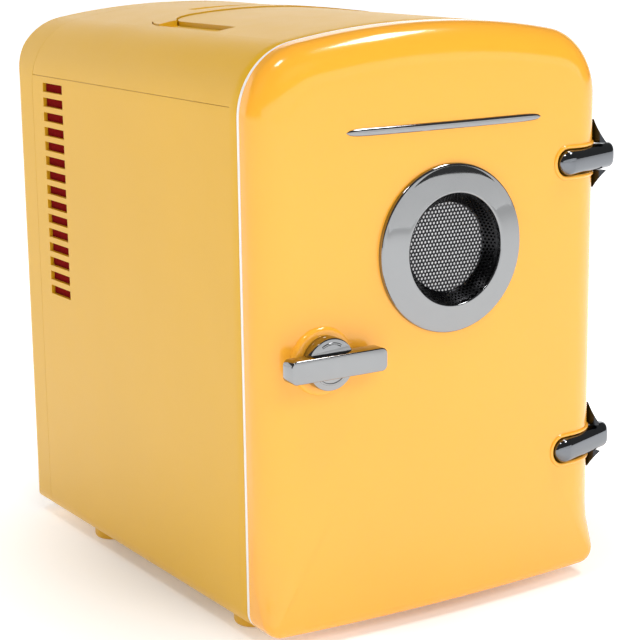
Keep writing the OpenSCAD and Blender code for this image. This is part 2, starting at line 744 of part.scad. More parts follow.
// Outer skin of the door
module door_shell() color("gold") placed() difference() {
    union() {
        difference() {
            door_solid(face_mid, door_back, 0);
            door_solid(face_mid + door_in - 1, door_back + 1, door_in);
        }
        intersection() {
            door_solid(face_mid, door_back - door_liner_t - 0.2, 0);
            union() {
                for (z = hinge_zs) arm_channel(z, door_in);
                rod_y(latch_x, latch_z, 7, face_mid, door_back - 7);
                rod_y(0, speaker_z, bore_r + 2.2, face_mid, door_back - 6);
                for (p = door_screw_places()) rod_y(p[0], p[1], 3.6, face_mid, door_back - door_liner_t - 0.2);
            }
        }
        rod_y(latch_x, latch_z, boss_r, latch_face - boss_h, latch_face + 2);
    }
    for (z = hinge_zs) {
        arm_channel(z, 0);
        for (x = arm_screw_x()) rod_y(x, z, 1.5, arm_seat() - 1, door_back);
    }
    rod_y(latch_x, latch_z, 5, latch_face - boss_h - 3, door_back);
    rod_y(0, speaker_z, bore_r, face_mid - 5, door_back);
    for (p = door_screw_places()) rod_y(p[0], p[1], 1.25, door_back - 12, door_back + 1);
    for (x = [-30, 30]) rod_y(x, trim_z, 1.3, face_mid - 1, door_back - 8);
}

// Trim bar
trim_z = speaker_z + 54;
trim_hw = 52;
trim_t = 1.6;

// Screws through the door liner
function door_screw_places() = [for (x = [-hw + 14, hw - 14], z = [20, 94, body_h - 39]) [x, z]];

module door_screws() color("silver") placed()
    for (p = door_screw_places()) {
        rod_y(p[0], p[1], 1.2, door_back - 11, door_back - 1 + e);
        rod_y(p[0], p[1], 2.5, door_back - 1, door_back + 0.6);
    }

// White inner panel with a raised plug that enters the opening
plug_gap = 5;
plug_d = 10;
module door_liner() color("white") placed() difference() {
    union() {
        slab(door_back - door_liner_t, door_back) outline(door_in + fit);
        slab(door_back - e, plug_d) difference() {
            round_rect(-liner_hw + plug_gap, liner_hw - plug_gap, liner_z0 + plug_gap, liner_z1 - plug_gap, 8);
            round_rect(-liner_hw + plug_gap + 2, liner_hw - plug_gap - 2, liner_z0 + plug_gap + 2,
                liner_z1 - plug_gap - 2, 6);
        }
        slab(plug_d - 2, plug_d)
            round_rect(-liner_hw + plug_gap, liner_hw - plug_gap, liner_z0 + plug_gap, liner_z1 - plug_gap, 8);
    }
    slab(door_back - 5, plug_d - 2)
        round_rect(-liner_hw + plug_gap + 2, liner_hw - plug_gap - 2, liner_z0 + plug_gap + 2,
            liner_z1 - plug_gap - 2, 6);
    for (p = door_screw_places()) {
        rod_y(p[0], p[1], 1.4, door_back - 5, door_back + 1);
        rod_y(p[0], p[1], 2.7, door_back - 1, door_back + 1);
    }
}

// Foam inside the plug
module door_insulation() color("beige") placed() difference() {
    slab(door_back - door_liner_t + 0.2, plug_d - 2)
        round_rect(-liner_hw + plug_gap + 2.2, liner_hw - plug_gap - 2.2, liner_z0 + plug_gap + 2.2,
            liner_z1 - plug_gap - 2.2, 6);
    rod_y(0, speaker_z, bore_r + 4, door_back - 5, plug_d - 4);
    rod_y(latch_x, latch_z, cam_l + 4, door_back - 5, door_back + 3);
}

// Soft ring between the door and the cabinet
module door_gasket() color("white") placed() slab(door_back, -0.05) difference() {
    outline(0.4);
    outline(7);
}

// ---------- speaker ----------

// Chrome ring that stands on the door face
module speaker_bezel() color("silver") placed() translate([0, 0, speaker_z]) rotate([90, 0, 0]) rotate_extrude() {
    polygon([[ring_in_r, -ring_face - 1.2], [ring_in_r + 1, -ring_face - 0.2],
        [ring_in_r + 2.4, -ring_face - 1.6], [ring_r - 2.2, -ring_face - 0.5],
        [ring_r - 1, -ring_face], [ring_r, -ring_face - 1], [ring_r, ring_seat()], [ring_in_r, ring_seat()]]);
    translate([ring_in_r, ring_seat() - 4]) square([bore_r - fit - ring_in_r, 4.5]);
}

// Where the ring meets the crowned face, as a distance in front of the gasket plane
function ring_seat() = -face_mid + 0.1;

// Black dished grille with a ring of holes
module speaker_grille() color("black") placed() difference() {
    translate([0, 0, speaker_z]) rotate([90, 0, 0]) rotate_extrude() {
        y = -ring_face - 3;
        polygon([[0, y - grille_d], [16, y - grille_d], [ring_in_r - 1.5, y - 1], [ring_in_r, y - 1],
            [ring_in_r, y], [ring_in_r - 2.2, y], [15.4, y - grille_d + 1], [0, y - grille_d + 1]]);
    }
    for (i = [-2 : 2], j = [-2 : 2])
        if (norm([i, j]) < 2.5) rod_y(i * 5, speaker_z + j * 5, 1.3, face_mid - 5, door_back);
}

// Round frame of the loudspeaker behind the grille
spk_y = -ring_face - 3 - grille_d;     // back of the dish, in front of the gasket plane
module speaker_basket() color("dimgray") placed() translate([0, 0, speaker_z]) rotate([90, 0, 0]) rotate_extrude()
    difference() {
        translate([10.5, -5.5]) square([13.5, spk_y + 4.1]);
        translate([9, -4]) square([13.5, spk_y + 20]);
    }

module speaker_magnet() color("silver") placed() rod_y(0, speaker_z, 10.5, 2.2, 5.5);

// Paper cone that moves along the speaker's axis
module speaker_cone() color("black") placed() translate([0, 0, speaker_z]) rotate([90, 0, 0]) rotate_extrude()
    polygon([[0, 0.5], [7, 0.5], [20.5, 5.5], [22, 5.5], [22, 6.3], [20.2, 6.3], [6.8, 1.3], [0, 1.3]]);

// Radio and amplifier board beside the speaker
module speaker_board() color("seagreen") placed() union() {
    x = bore_r + 4;
    y = door_back - door_liner_t - 2.4;
    z = speaker_z - 56;
    block([x, y, z], [x + 24, y + 1.6, z + 26]);
    block([x + 4, y - 3, z + 6], [x + 14, y + e, z + 16]);
}

// ---------- latch ----------

module latch_handle() color("silver") placed() difference() {
    union() {
        rod_y(latch_x, latch_z, latch_r, bar_front + 5.2, latch_face - boss_h - 0.4);
        slab(bar_front, bar_front + bar_t)
            round_rect(latch_x - bar_short, latch_x + bar_long, latch_z - bar_h / 2, latch_z + bar_h / 2, 3.2);
    }
    rod_y(latch_x, latch_z, spindle_r, bar_front + 3, 0);
}

module latch_spindle() color("gray") placed() difference() {
    rod_y(latch_x, latch_z, spindle_r, bar_front + 3, door_back - 4);
    rod_y(latch_x, latch_z, 1, door_back - 10, door_back);
}

// Bush that the spindle turns in
module latch_bush() color("white") placed() difference() {
    rod_y(latch_x, latch_z, 5, latch_face - boss_h, door_back - 7.2);
    rod_y(latch_x, latch_z, spindle_r + run, latch_face - 10, door_back);
}

// Steel finger that the frame's magnet holds
module latch_cam() color("dimgray") placed() difference() {
    slab(door_back - 6.6, door_back - 4) {
        translate([latch_x, latch_z]) circle(6);
        translate([latch_x - cam_l, latch_z - 4.5]) square([cam_l, 9]);
    }
    rod_y(latch_x, latch_z, spindle_r, door_back - 20, door_back);
}

module cam_screw() color("silver") placed() {
    rod_y(latch_x, latch_z, 1, door_back - 9, door_back - 4 + e);
    rod_y(latch_x, latch_z, 4, door_back - 4, door_back - 2.4);
}

// Plain slim trim bar above the speaker, with two studs
module trim_bar() color("silver") placed() union() {
    difference() {
        slab(face_mid - trim_t, face_y(trim_hw)) round_rect(-trim_hw, trim_hw, trim_z - 1.8, trim_z + 1.8, 1.7);
        translate([0, face_mid + crown_r, trim_z - 5]) cylinder(r = crown_r + 0.1, h = 10, $fn = 720);
        translate([0, face_mid - trim_t, trim_z - 5]) difference() {
            translate([-body_w, -body_w / 2, 0]) cube([2 * body_w, body_w, 10]);
            translate([0, crown_r, -1]) cylinder(r = crown_r, h = 12, $fn = 720);
        }
    }
    for (x = [-30, 30]) rod_y(x, trim_z, 1.2, face_y(30) - 0.6, face_y(30) + door_in - 0.4);
}

// ---------- assembly ----------

body_shell();
top_cover();
back_cover();
front_frame();
inner_liner();
insulation();
shelf();
cold_plate();
cold_block();
peltier_module();
heat_sink();
fan_frame();
fan_screws();
fan_rotor();
dust_filters();
power_board();
board_standoffs();
ac_inlet();
dc_inlet();
switch_housing();
mode_rocker();
catch_magnet();
hinge_bracket_upper();
hinge_bracket_lower();
hinge_pin_upper();
hinge_pin_lower();
bracket_screws();
carry_handle();
handle_pins();
back_cover_screws();
feet();
door_shell();
door_liner();
door_insulation();
door_gasket();
speaker_bezel();
speaker_grille();
speaker_basket();
speaker_magnet();
speaker_cone();
speaker_board();
hinge_arm_upper();
hinge_arm_lower();
arm_screws();
latch_bush();
trim_bar();
door_screws();
latch_handle();
latch_spindle();
latch_cam();
cam_screw();
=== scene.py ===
"""Looks of a small arched-top retro fridge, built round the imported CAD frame.

Every surface is worked out with numpy in millimetres on the fridge's own axes (X right, Y back from the gasket
plane, Z up from the cabinet's underside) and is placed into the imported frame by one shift.
"""
import json
import logging
import math
from dataclasses import dataclass, field
from enum import Enum
from typing import Iterable, Sequence

import bmesh
import bpy
import numpy as np
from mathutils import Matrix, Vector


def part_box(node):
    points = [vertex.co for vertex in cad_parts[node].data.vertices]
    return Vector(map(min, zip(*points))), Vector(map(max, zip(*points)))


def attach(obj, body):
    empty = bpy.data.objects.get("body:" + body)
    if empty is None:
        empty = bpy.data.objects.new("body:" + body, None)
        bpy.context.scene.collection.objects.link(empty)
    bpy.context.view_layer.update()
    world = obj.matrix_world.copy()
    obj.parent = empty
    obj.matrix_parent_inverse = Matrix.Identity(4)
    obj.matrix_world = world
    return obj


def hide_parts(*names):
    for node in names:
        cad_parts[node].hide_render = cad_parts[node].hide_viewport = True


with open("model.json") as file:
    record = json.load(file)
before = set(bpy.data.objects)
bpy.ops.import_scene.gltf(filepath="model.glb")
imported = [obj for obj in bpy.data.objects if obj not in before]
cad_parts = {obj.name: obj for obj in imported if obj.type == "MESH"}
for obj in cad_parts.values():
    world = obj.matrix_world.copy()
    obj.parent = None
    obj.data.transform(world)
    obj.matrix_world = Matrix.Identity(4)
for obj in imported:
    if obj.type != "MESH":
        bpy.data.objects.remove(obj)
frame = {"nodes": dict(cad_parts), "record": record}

LOG = logging.getLogger("fridge")
MM = 0.001
TAU = 2.0 * math.pi
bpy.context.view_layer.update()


@dataclass(frozen=True)
class Datum:
    """Where the fridge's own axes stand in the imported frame, in metres."""

    x: float
    y: float
    z: float

    @classmethod
    def from_frame(cls) -> "Datum":
        """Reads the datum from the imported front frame: its middle, its front face and its lowest edge."""
        low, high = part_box("front_frame")
        return cls((low.x + high.x) / 2.0, low.y, low.z)

    def place(self, points: np.ndarray) -> np.ndarray:
        """Turns points in millimetres on the fridge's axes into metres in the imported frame."""
        return np.asarray(points, dtype=float) * MM + np.array([self.x, self.y, self.z])


DATUM = Datum.from_frame()


def span(node: str) -> tuple[np.ndarray, np.ndarray]:
    """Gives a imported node's lowest and highest corners in millimetres on the fridge's own axes."""
    shift = np.array([DATUM.x, DATUM.y, DATUM.z])
    low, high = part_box(node)
    return (np.array(low) - shift) / MM, (np.array(high) - shift) / MM


# ---------------------------------------------------------------- mesh tools


def mesh_object(name: str, points: np.ndarray, faces: Iterable[Sequence[int]]) -> bpy.types.Object:
    """Makes a mesh object from points and faces.

    Args:
        name: the piece's name.
        points: (n, 3) array in millimetres on the fridge's axes.
        faces: lists of point numbers, counter-clockwise seen from outside.

    Returns:
        The new object, at the origin, linked to the scene.
    """
    mesh = bpy.data.meshes.new(name)
    mesh.from_pydata(DATUM.place(np.asarray(points).reshape(-1, 3)).tolist(), [], [list(f) for f in faces])
    mesh.update()
    piece = bpy.data.objects.new(name, mesh)
    bpy.context.scene.collection.objects.link(piece)
    return piece


def quads(rows: int, cols: int, wrap_rows: bool) -> np.ndarray:
    """Numbers the corners of every cell of a rows by cols grid; columns wrap round, and rows where asked."""
    i = np.arange(rows if wrap_rows else rows - 1)[:, None]
    j = np.arange(cols)[None, :]
    a = i * cols + j
    b = i * cols + (j + 1) % cols
    c = ((i + 1) % rows) * cols + (j + 1) % cols
    d = ((i + 1) % rows) * cols + j
    return np.stack([a, b, c, d], axis=-1).reshape(-1, 4)


def outward(piece: bpy.types.Object, merge: float = 1e-6) -> bpy.types.Object:
    """Merges doubles and turns all faces outwards."""
    cells = bmesh.new()
    cells.from_mesh(piece.data)
    bmesh.ops.remove_doubles(cells, verts=cells.verts, dist=merge)
    bmesh.ops.dissolve_degenerate(cells, edges=cells.edges, dist=1e-7)
    bmesh.ops.recalc_face_normals(cells, faces=cells.faces)
    cells.to_mesh(piece.data)
    cells.free()
    return piece


def smooth(piece: bpy.types.Object, angle: float = 32.0) -> bpy.types.Object:
    """Shades a piece smooth, with edges sharper than angle kept crisp."""
    mesh = piece.data
    mesh.polygons.foreach_set("use_smooth", np.ones(len(mesh.polygons), dtype=bool))
    mesh.set_sharp_from_angle(angle=math.radians(angle))
    mesh.update()
    return piece


def surface(name: str, grid: np.ndarray, wrap_rows: bool = False, cap_ends: bool = False) -> bpy.types.Object:
    """Makes a piece from a (rows, cols, 3) grid of points, with its first and last rows capped if asked."""
    rows, cols = grid.shape[:2]
    faces = quads(rows, cols, wrap_rows).tolist()
    if cap_ends:
        faces.append(list(range(cols))[::-1])
        faces.append([(rows - 1) * cols + k for k in range(cols)])
    return outward(mesh_object(name, grid, faces))


def lathe(name: str, profile: Sequence[tuple[float, float]], centre: tuple[float, float, float],
          count: int = 96) -> bpy.types.Object:
    """Turns a closed profile round an axis that runs back along Y.

    Each profile point (r, a) becomes a circle of radius r at distance a along the axis:
    x = r cos t, z = r sin t, y = a.
    """
    line = np.array(profile, dtype=float)
    turn = np.linspace(0.0, TAU, count, endpoint=False)
    across = line[:, 0, None] * np.cos(turn)
    up = line[:, 0, None] * np.sin(turn)
    along = np.repeat(line[:, 1, None], count, axis=1)
    grid = np.stack([across, along, up], axis=-1) + np.array(centre)
    return surface(name, grid, wrap_rows=True)


def ring3(loop: np.ndarray, y: np.ndarray | float) -> np.ndarray:
    """Sets a loop of (x, z) points at depth y."""
    return np.stack([loop[:, 0], np.broadcast_to(np.asarray(y, dtype=float), (len(loop),)), loop[:, 1]], axis=-1)


def prism(name: str, outline: np.ndarray, low: float, high: float) -> bpy.types.Object:
    """Extrudes a closed outline of (x, z) points between two depths."""
    grid = np.stack([ring3(outline, low), ring3(outline, high)])
    return surface(name, grid, cap_ends=True)


def rounded_box(name: str, low: Sequence[float], high: Sequence[float], radius: float,
                segments: int = 3) -> bpy.types.Object:
    """Makes a box between two corners with rounded edges."""
    x, y, z = zip(low, high)
    points = np.array([[x[i], y[j], z[k]] for i in (0, 1) for j in (0, 1) for k in (0, 1)])
    faces = [(0, 1, 3, 2), (4, 6, 7, 5), (0, 4, 5, 1), (2, 3, 7, 6), (0, 2, 6, 4), (1, 5, 7, 3)]
    piece = outward(mesh_object(name, points, faces))
    return bevel(piece, radius, segments)


def bevel(piece: bpy.types.Object, width: float, segments: int = 2, angle: float = 35.0) -> bpy.types.Object:
    """Rounds a piece's sharp edges and applies the result."""
    tool = piece.modifiers.new("edge_round", "BEVEL")
    tool.width = width * MM
    tool.segments = segments
    tool.limit_method = "ANGLE"
    tool.angle_limit = math.radians(angle)
    tool.harden_normals = False
    return apply_modifiers(piece)


def apply_modifiers(piece: bpy.types.Object) -> bpy.types.Object:
    """Replaces a piece's mesh with the mesh that its modifiers give."""
    shown = piece.evaluated_get(bpy.context.evaluated_depsgraph_get())
    mesh = bpy.data.meshes.new_from_object(shown)
    piece.modifiers.clear()
    old = piece.data
    piece.data = mesh
    bpy.data.meshes.remove(old)
    mesh.name = piece.name
    return piece


def cut(piece: bpy.types.Object, others: Sequence[bpy.types.Object]) -> bpy.types.Object:
    """Cuts other pieces from a piece and deletes them."""
    for other in others:
        tool = piece.modifiers.new("cut", "BOOLEAN")
        tool.operation = "DIFFERENCE"
        tool.solver = "EXACT"
        tool.object = other
        apply_modifiers(piece)
        bpy.data.objects.remove(other, do_unlink=True)
    return piece


def join(name: str, pieces: Sequence[bpy.types.Object]) -> bpy.types.Object:
    """Puts several separate solids into one piece."""
    cells = bmesh.new()
    for piece in pieces:
        cells.from_mesh(piece.data)
    mesh = bpy.data.meshes.new(name)
    cells.to_mesh(mesh)
    cells.free()
    for piece in pieces:
        bpy.data.objects.remove(piece, do_unlink=True)
    made = bpy.data.objects.new(name, mesh)
    bpy.context.scene.collection.objects.link(made)
    return made


def stadium(x0: float, x1: float, z: float, radius: float, count: int = 24) -> np.ndarray:
    """Outline of a bar with a round left end: a half circle at x0 and a square end at x1."""
    turn = np.linspace(math.pi / 2, 3 * math.pi / 2, count)
    end = np.stack([x0 + radius + radius * np.cos(turn), z + radius * np.sin(turn)], axis=-1)
    return np.concatenate([end, [[x1, z - radius], [x1, z + radius]]])


def rounded_outline(x0: float, x1: float, z0: float, z1: float, radius: float,
                    count: int = 8) -> np.ndarray:
    """Outline of a rectangle with round corners, counter-clockwise."""
    turn = np.linspace(0.0, math.pi / 2, count)
    arcs = []
    for cx, cz, start in ((x1 - radius, z1 - radius, 0.0), (x0 + radius, z1 - radius, 0.5 * math.pi),
                          (x0 + radius, z0 + radius, math.pi), (x1 - radius, z0 + radius, 1.5 * math.pi)):
        arcs.append(np.stack([cx + radius * np.cos(turn + start), cz + radius * np.sin(turn + start)], axis=-1))
    return np.concatenate(arcs)


def circle(cx: float, cz: float, radius: float, count: int = 48) -> np.ndarray:
    """Points round a circle, counter-clockwise."""
    turn = np.linspace(0.0, TAU, count, endpoint=False)
    return np.stack([cx + radius * np.cos(turn), cz + radius * np.sin(turn)], axis=-1)


def sweep(name: str, path: np.ndarray, section: np.ndarray, normals: np.ndarray) -> bpy.types.Object:
    """Carries a section along an open path.

    Each section point (a, b) goes to path + a * side + b * normal, where side is the path's direction
    crossed with the normal.
    """
    ahead = np.gradient(path, axis=0)
    ahead /= np.linalg.norm(ahead, axis=1, keepdims=True)
    side = np.cross(ahead, normals)
    side /= np.linalg.norm(side, axis=1, keepdims=True)
    up = np.cross(side, ahead)
    grid = path[:, None] + section[None, :, 0, None] * side[:, None] + section[None, :, 1, None] * up[:, None]
    return surface(name, grid, cap_ends=True)


# ---------------------------------------------------------------- finishes


class Graph:
    """A small helper that adds and links the nodes of one material."""

    def __init__(self, name: str) -> None:
        self.material = bpy.data.materials.new(name)
        self.material.use_nodes = True
        self.tree = self.material.node_tree
        self.shader = self.tree.nodes["Principled BSDF"]
        self.coords = self.tree.nodes.new("ShaderNodeTexCoord").outputs["Object"]

    def set(self, **values: object) -> None:
        """Sets the shader's own sockets, named with underscores for spaces."""
        for key, value in values.items():
            self.shader.inputs[key.replace("_", " ")].default_value = value

    def link(self, source: bpy.types.NodeSocket, target: bpy.types.NodeSocket) -> None:
        """Links two sockets."""
        self.tree.links.new(source, target)

    def noise(self, scale: float, detail: float = 3.0, rough: float = 0.5) -> bpy.types.NodeSocket:
        """Adds a noise pattern on object coordinates and gives its value."""
        node = self.tree.nodes.new("ShaderNodeTexNoise")
        node.inputs["Scale"].default_value = scale
        node.inputs["Detail"].default_value = detail
        node.inputs["Roughness"].default_value = rough
        self.link(self.coords, node.inputs["Vector"])
        return node.outputs["Fac"]

    def ramp(self, source: bpy.types.NodeSocket, low: float, high: float, a: Sequence[float],
             b: Sequence[float]) -> bpy.types.NodeSocket:
        """Turns a value into a colour between a, at low, and b, at high."""
        node = self.tree.nodes.new("ShaderNodeValToRGB")
        node.color_ramp.elements[0].position = low
        node.color_ramp.elements[1].position = high
        node.color_ramp.elements[0].color = (*a, 1.0)
        node.color_ramp.elements[1].color = (*b, 1.0)
        self.link(source, node.inputs["Fac"])
        return node.outputs["Color"]

    def spread(self, source: bpy.types.NodeSocket, low: float, high: float) -> bpy.types.NodeSocket:
        """Maps a 0 to 1 value to the span from low to high."""
        node = self.tree.nodes.new("ShaderNodeMapRange")
        node.inputs["To Min"].default_value = low
        node.inputs["To Max"].default_value = high
        self.link(source, node.inputs["Value"])
        return node.outputs["Result"]

    def bump(self, source: bpy.types.NodeSocket, depth: float) -> None:
        """Adds relief of the given depth in metres to the shader."""
        node = self.tree.nodes.new("ShaderNodeBump")
        node.inputs["Distance"].default_value = depth
        node.inputs["Strength"].default_value = 1.0
        self.link(source, node.inputs["Height"])
        last = self.shader.inputs["Normal"]
        if last.is_linked:
            self.link(last.links[0].from_socket, node.inputs["Normal"])
        self.link(node.outputs["Normal"], last)


@dataclass(frozen=True)
class Plastic:
    """A moulded plastic: its colour and how much it varies, its gloss, and the grain of its skin."""

    name: str
    colour: tuple[float, float, float]
    rough: float = 0.4
    vary: float = 0.03
    rough_vary: float = 0.05
    grain_scale: float = 1500.0
    grain_depth: float = 0.00002
    wave_depth: float = 0.0
    coat: float = 0.0
    specular: float = 0.5
    subsurface: float = 0.0

    def make(self) -> bpy.types.Material:
        """Builds the material: slow colour drift, uneven gloss, fine grain and, if asked, moulding waves."""
        g = Graph(self.name)
        drift = g.noise(14.0, 4.0)
        dark = [c * (1.0 - self.vary) for c in self.colour]
        light = [min(1.0, c * (1.0 + self.vary)) for c in self.colour]
        g.link(g.ramp(drift, 0.3, 0.7, dark, light), g.shader.inputs["Base Color"])
        g.link(g.spread(g.noise(60.0, 5.0), self.rough - self.rough_vary, self.rough + self.rough_vary),
               g.shader.inputs["Roughness"])
        g.bump(g.noise(self.grain_scale, 2.0), self.grain_depth)
        if self.wave_depth:
            g.bump(g.noise(9.0, 1.0), self.wave_depth)
        g.set(Coat_Weight=self.coat, Coat_Roughness=0.04, Specular_IOR_Level=self.specular,
              Subsurface_Weight=self.subsurface, Subsurface_Radius=(0.004, 0.002, 0.001))
        return g.material


@dataclass(frozen=True)
class Metal:
    """A metal: its colour, its polish and the fine marks left on it."""

    name: str
    colour: tuple[float, float, float]
    rough: float = 0.06
    smear: float = 0.03
    grain_scale: float = 900.0
    grain_depth: float = 0.0

    def make(self) -> bpy.types.Material:
        """Builds the material: full metal with smears in its polish and, if asked, a grain."""
        g = Graph(self.name)
        wipe = g.noise(35.0, 6.0, 0.6)
        tint = [min(1.0, c * 1.04) for c in self.colour]
        g.link(g.ramp(wipe, 0.35, 0.7, self.colour, tint), g.shader.inputs["Base Color"])
        g.link(g.spread(g.noise(80.0, 6.0, 0.65), max(0.01, self.rough - self.smear), self.rough + self.smear),
               g.shader.inputs["Roughness"])
        if self.grain_depth:
            g.bump(g.noise(self.grain_scale, 2.0), self.grain_depth)
        g.set(Metallic=1.0)
        return g.material


@dataclass(frozen=True)
class Felt:
    """A fibrous sheet: its colour, with a soft tangled relief and sheen."""

    name: str
    colour: tuple[float, float, float]
    sheen: float = 0.2

    def make(self) -> bpy.types.Material:
        """Builds the material: tangled fibres in colour and relief."""
        g = Graph(self.name)
        fibre = g.noise(900.0, 6.0, 0.75)
        g.link(g.ramp(fibre, 0.3, 0.7, [c * 0.6 for c in self.colour], [min(1.0, c * 1.3) for c in self.colour]),
               g.shader.inputs["Base Color"])
        g.bump(fibre, 0.0003)
        g.set(Roughness=0.9, Sheen_Weight=self.sheen, Specular_IOR_Level=self.sheen)
        return g.material


class Finish(Enum):
    """Every finish on the fridge, by what it is on."""

    DOOR = Plastic("door_gloss_yellow", (0.93, 0.416, 0.034), rough=0.16, vary=0.012, rough_vary=0.03,
                   grain_scale=700.0, grain_depth=0.000004, wave_depth=0.00008, coat=0.35, subsurface=0.03)
    CABINET = Plastic("cabinet_satin_yellow", (0.70, 0.388, 0.009), rough=0.36, vary=0.015, rough_vary=0.04,
                      grain_scale=1700.0, grain_depth=0.00003, specular=0.5)
    CHROME = Metal("bright_chrome", (0.29, 0.295, 0.30), rough=0.05, smear=0.025)
    # Painted shade: the arm's chrome is a darker copy of the bright chrome, dimmed to stand in for duller
    # reflections.
    ARM_PAINTED_SHADE = Metal("arm_chrome_painted_shade", (0.175, 0.185, 0.2), rough=0.07, smear=0.03)
    # Painted shade: the bracket's chrome is a near-black copy of the bright chrome, standing in for the dark
    # room it reflects.
    BRACKET_PAINTED_SHADE = Metal("bracket_chrome_painted_shade", (0.045, 0.048, 0.053), rough=0.16, smear=0.04)
    STEEL = Metal("plated_steel", (0.56, 0.56, 0.57), rough=0.28, smear=0.08, grain_depth=0.00001)
    ALUMINIUM = Metal("drawn_aluminium", (0.74, 0.75, 0.77), rough=0.3, smear=0.08, grain_depth=0.00002)
    BRASS = Metal("turned_brass", (0.76, 0.55, 0.22), rough=0.22, smear=0.06)
    GASKET = Plastic("gasket_white_rubber", (0.86, 0.845, 0.82), rough=0.5, vary=0.02, grain_depth=0.00002)
    WHITE = Plastic("liner_white_plastic", (0.84, 0.845, 0.84), rough=0.32, vary=0.01, coat=0.1)
    FOAM = Plastic("insulation_foam", (0.82, 0.76, 0.56), rough=0.85, vary=0.08, grain_scale=500.0,
                   grain_depth=0.0004)
    BLACK = Plastic("black_plastic", (0.022, 0.022, 0.024), rough=0.38, vary=0.1, grain_depth=0.00003)
    MESH = Metal("black_perforated_steel", (0.03, 0.03, 0.032), rough=0.32, smear=0.05)
    SILVER = Plastic("silvered_cone", (0.8, 0.8, 0.81), rough=0.45, vary=0.02, grain_depth=0.00001)
    RED = Felt("red_filter_felt", (0.2, 0.0015, 0.002), sheen=0.02)
    CONE = Felt("speaker_cone_paper", (0.03, 0.03, 0.032))
    BOARD = Plastic("green_solder_mask", (0.015, 0.17, 0.06), rough=0.3, vary=0.2, coat=0.4)
    SWITCH = Plastic("red_switch", (0.5, 0.012, 0.012), rough=0.25, vary=0.03, coat=0.3)
    MAGNET = Plastic("sintered_magnet", (0.07, 0.07, 0.075), rough=0.55, vary=0.1, grain_depth=0.0001)

    @property
    def material(self) -> bpy.types.Material:
        """The Blender material of this finish, made once."""
        made = bpy.data.materials.get(self.value.name)
        return made or self.value.make()


def clear_material() -> bpy.types.Material:
    """Clear polished plastic for the shelf."""
    g = Graph("clear_shelf_plastic")
    g.link(g.spread(g.noise(40.0, 4.0), 0.04, 0.1), g.shader.inputs["Roughness"])
    g.set(Base_Color=(0.86, 0.93, 0.95, 1.0), Transmission_Weight=0.9, IOR=1.49)
    return g.material


SLOT_FINISH = {
    "matte_yellow": Finish.CABINET, "gloss_yellow": Finish.DOOR, "white_plastic": Finish.WHITE,
    "foam": Finish.FOAM, "aluminium": Finish.ALUMINIUM, "steel": Finish.STEEL, "black_plastic": Finish.BLACK,
    "red_filter": Finish.RED, "circuit_board": Finish.BOARD, "brass": Finish.BRASS, "red_plastic": Finish.SWITCH,
    "magnet": Finish.MAGNET, "chrome": Finish.CHROME, "gasket": Finish.GASKET, "black_mesh": Finish.MESH,
    "paper_cone": Finish.CONE,
}


def dress_frame_nodes() -> None:
    """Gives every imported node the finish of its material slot."""
    clear = clear_material()
    for part in frame["record"]["subparts"]:
        node = frame["nodes"][part["node"]]
        finish = SLOT_FINISH.get(part["material_slot"])
        material = finish.material if finish else clear
        node.data.materials.clear()
        node.data.materials.append(material)


def fit_out(piece: bpy.types.Object, finish: Finish, body: str, slot: str, *nodes: str) -> bpy.types.Object:
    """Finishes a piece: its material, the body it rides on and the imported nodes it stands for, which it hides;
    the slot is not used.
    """
    piece.data.materials.clear()
    piece.data.materials.append(finish.material)
    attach(piece, body)
    if nodes:
        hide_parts(*nodes)
    LOG.info("%s on %s: %d faces", piece.name, body, len(piece.data.polygons))
    return piece


# ---------------------------------------------------------------- the shared arched outline


